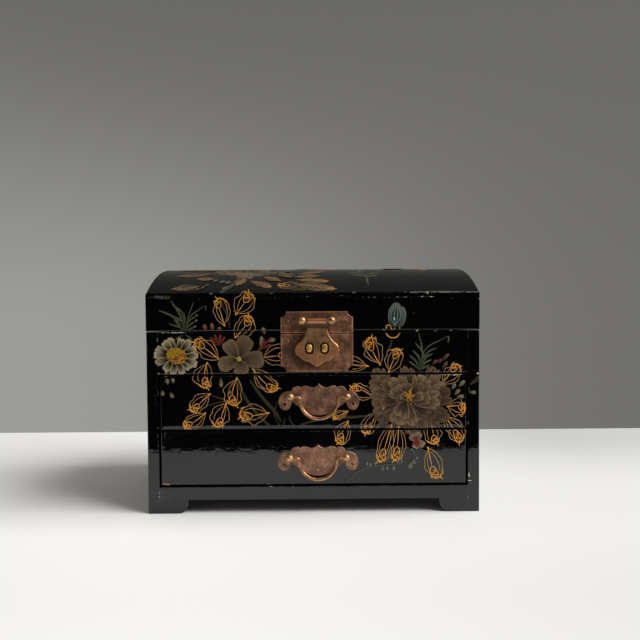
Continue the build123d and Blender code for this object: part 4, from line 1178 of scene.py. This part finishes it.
def felt_pad(node, body, material):
    """A felt-covered card whose top swells a little and whose rim rolls over. Across it a, and along it
    b, run from -1 to 1. Its height is the thickness times 0.45 + 0.5 swell (1 + ripple), where swell is
    (1 - |a|^40)^0.5 (1 - |b|^40)^0.5 and ripple a faint product of sines."""
    steps, squareness, wavering = 60, 40, 0.08
    low, high = block(node)
    size = high - low
    edge = np.sin(np.linspace(-np.pi / 2, np.pi / 2, steps))
    a, b = np.meshgrid(edge, edge, indexing="ij")
    swell = np.sqrt(np.clip(1 - np.abs(a) ** squareness, 0, 1) * np.clip(1 - np.abs(b) ** squareness, 0, 1))
    ripple = wavering * np.sin(9 * a + 2 * b) * np.sin(7 * b + 1)
    thickness = size[2] * (0.45 + 0.5 * swell + ripple * 0.5 * swell)
    x = (low[0] + high[0]) / 2 + a * size[0] / 2
    y = (low[1] + high[1]) / 2 + b * size[1] / 2
    top = np.stack([x, y, low[2] + thickness], axis=-1).reshape(-1, 3)
    bottom = np.stack([x, y, np.full_like(x, low[2])], axis=-1).reshape(-1, 3)
    index = np.arange(steps * steps).reshape(steps, steps)
    quads = np.roll(grid_faces(steps, steps)[:, ::-1], 1, axis=1)
    rim = np.concatenate([index[:, 0], index[-1, 1:], index[-2::-1, -1], index[0, -2:0:-1]])
    after = np.roll(rim, -1)
    under = steps * steps
    wall = np.stack([rim + under, after + under, after, rim], axis=1)
    faces = np.concatenate([quads, quads[:, ::-1] + under, wall]).tolist()
    pad = place_piece(f"{node}_felt", np.concatenate([top, bottom]), faces, material, body)
    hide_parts(node)


# Stage: a pale table with a front and a back edge, and soft grey surroundings


def make_table():
    """A board that ends in front of and behind the box, with painted shade that greys it towards the back
    right and a little at the front, and faint dirty specks.
    """
    near, far, side, thickness = front - 275.0, front + 427.0, 1400.0, 30.0
    corners = [(x, y, z) for z in (-thickness, 0) for y in (near, far) for x in (-side, side)]
    faces = [(4, 5, 7, 6), (0, 2, 3, 1), (0, 1, 5, 4), (2, 6, 7, 3), (0, 4, 6, 2), (1, 3, 7, 5)]
    mesh = bpy.data.meshes.new("table_top")
    mesh.from_pydata((np.array(corners) * MM).tolist(), [], faces)
    mesh.update()
    f = Finish("table_paint", Roughness=0.85, Specular_IOR_Level=0.1)
    # Painted shade on the table: greyer towards the back right, and a little greyer at the front.
    back = (f.y - (front + 60)).rise(0.0, 300.0)
    right = (f.x + 160).rise(0.0, 560.0)
    darker_patch = f.cells(90.0).rise(0.5, 0.2) * 0.1
    fore = ((front - 40) - f.y).rise(0.0, 160.0)
    share = right * (0.5 + 0.35 * back) + 0.12 * fore
    pale = f.mix(share.low(1.0), tone(249, 250, 251), tone(178, 179, 180))
    f.set("Base Color", f.mix(darker_patch, pale, tone(120, 116, 110)))
    mesh.materials.append(f.material)
    add_object("table_top", mesh)


def light_the_scene():
    """A soft box to the right and a little in front, over dim grey surroundings. What the camera and
    polished surfaces see is a grey wall behind, and darkness in front."""
    distance, width, power = 3400.0, 2500.0, 168.0
    turn, lift = np.radians(74), np.radians(43)
    aim = np.array([0, 0, 90.0])
    toward = np.array([np.sin(turn) * np.cos(lift), -np.cos(turn) * np.cos(lift), np.sin(lift)])
    lamp = bpy.data.lights.new("soft_box", "AREA")
    lamp.shape = "SQUARE"
    lamp.size = width * MM
    lamp.energy = power
    lamp.color = (1.0, 0.985, 0.965)
    sideways = np.cross([0, 0, 1], toward)
    sideways /= np.linalg.norm(sideways)
    upward = np.cross(toward, sideways)
    axes = Matrix(np.stack([sideways, upward, toward], axis=1).tolist())
    add_object("soft_box", lamp, (aim + toward * distance) * MM, axes)

    world = bpy.data.worlds.new("surroundings")
    bpy.context.scene.world = world
    world.use_nodes = True
    Room(world).paint_wall()


class Room(Finish):
    """The surroundings, as sums on the direction that is looked in."""

    def __init__(self, world):
        self.tree = world.node_tree
        self.tree.nodes.clear()
        direction = self.node("TexCoord")[0]
        self.x, self.y, self.z = self.node("SeparateXYZ", {}, [direction])

    def paint_wall(self):
        """The grey wall that the camera sees, the dimmer one in reflections, and the light all round."""
        # Of the kinds of ray, the camera's, the glossy and the transmitted ones
        seen, _, _, mirrored, _, _, through, *_ = self.node("LightPath")
        # The wall is lighter low on the left: a painted pool of light on the backdrop.
        left = 0.1 + 0.9 * ((0.5 - self.x) / 0.95).rise(0.0, 1.0)
        low_left = left * (0.48 - self.z).rise(0.0, 0.5)
        wall = self.mix(low_left, tone(107, 106, 102), tone(157, 156, 152))
        behind = self.y.rise(-0.15, 0.35)
        dim = self.mix(behind, tone(15, 15, 16), tone(94, 94, 92))
        ambient = self.mix(behind, tone(114, 111, 108), tone(164, 161, 157))
        colour = self.mix(seen.high(through), self.mix(mirrored, ambient, dim), wall)
        background = self.node("Background", {}, {"Color": colour})[0]
        self.node("OutputWorld", {}, {"Surface": background})


def place_camera():
    """The photograph's viewpoint: low, straight in front and 540 away from the front."""
    focal_pixels, frame_pixels, horizon_row = 590.4, 640, 343.0
    yaw, pitch, roll = np.radians([-0.393, -1.641, 0.364])
    eye = np.array([3.01, front - 539.63, 171.74])
    camera = bpy.data.cameras.new("camera")
    camera.sensor_width = 36.0
    camera.lens = focal_pixels * camera.sensor_width / frame_pixels
    camera.shift_x = -0.0007
    camera.shift_y = (horizon_row - frame_pixels / 2) / frame_pixels
    turn = Matrix.Rotation(yaw, 3, "Z") @ Matrix.Rotation(pitch, 3, "X") @ Matrix.Rotation(roll, 3, "Y")
    axes = Matrix((turn.col[0], turn.col[2], -turn.col[1])).transposed()
    bpy.context.scene.camera = add_object("camera", camera, eye * MM, axes)


finish_case_and_lid()
finish_fittings()
paint_the_box()
pad_felt = felt("red_felt")
for node, body in (
    ("compartment_pad", "case"),
    ("upper_drawer_pad", "upper_drawer"),
    ("lower_drawer_pad", "lower_drawer"),
):
    felt_pad(node, body, pad_felt)
make_table()
light_the_scene()
place_camera()
bpy.context.scene.view_settings.view_transform = "Standard"
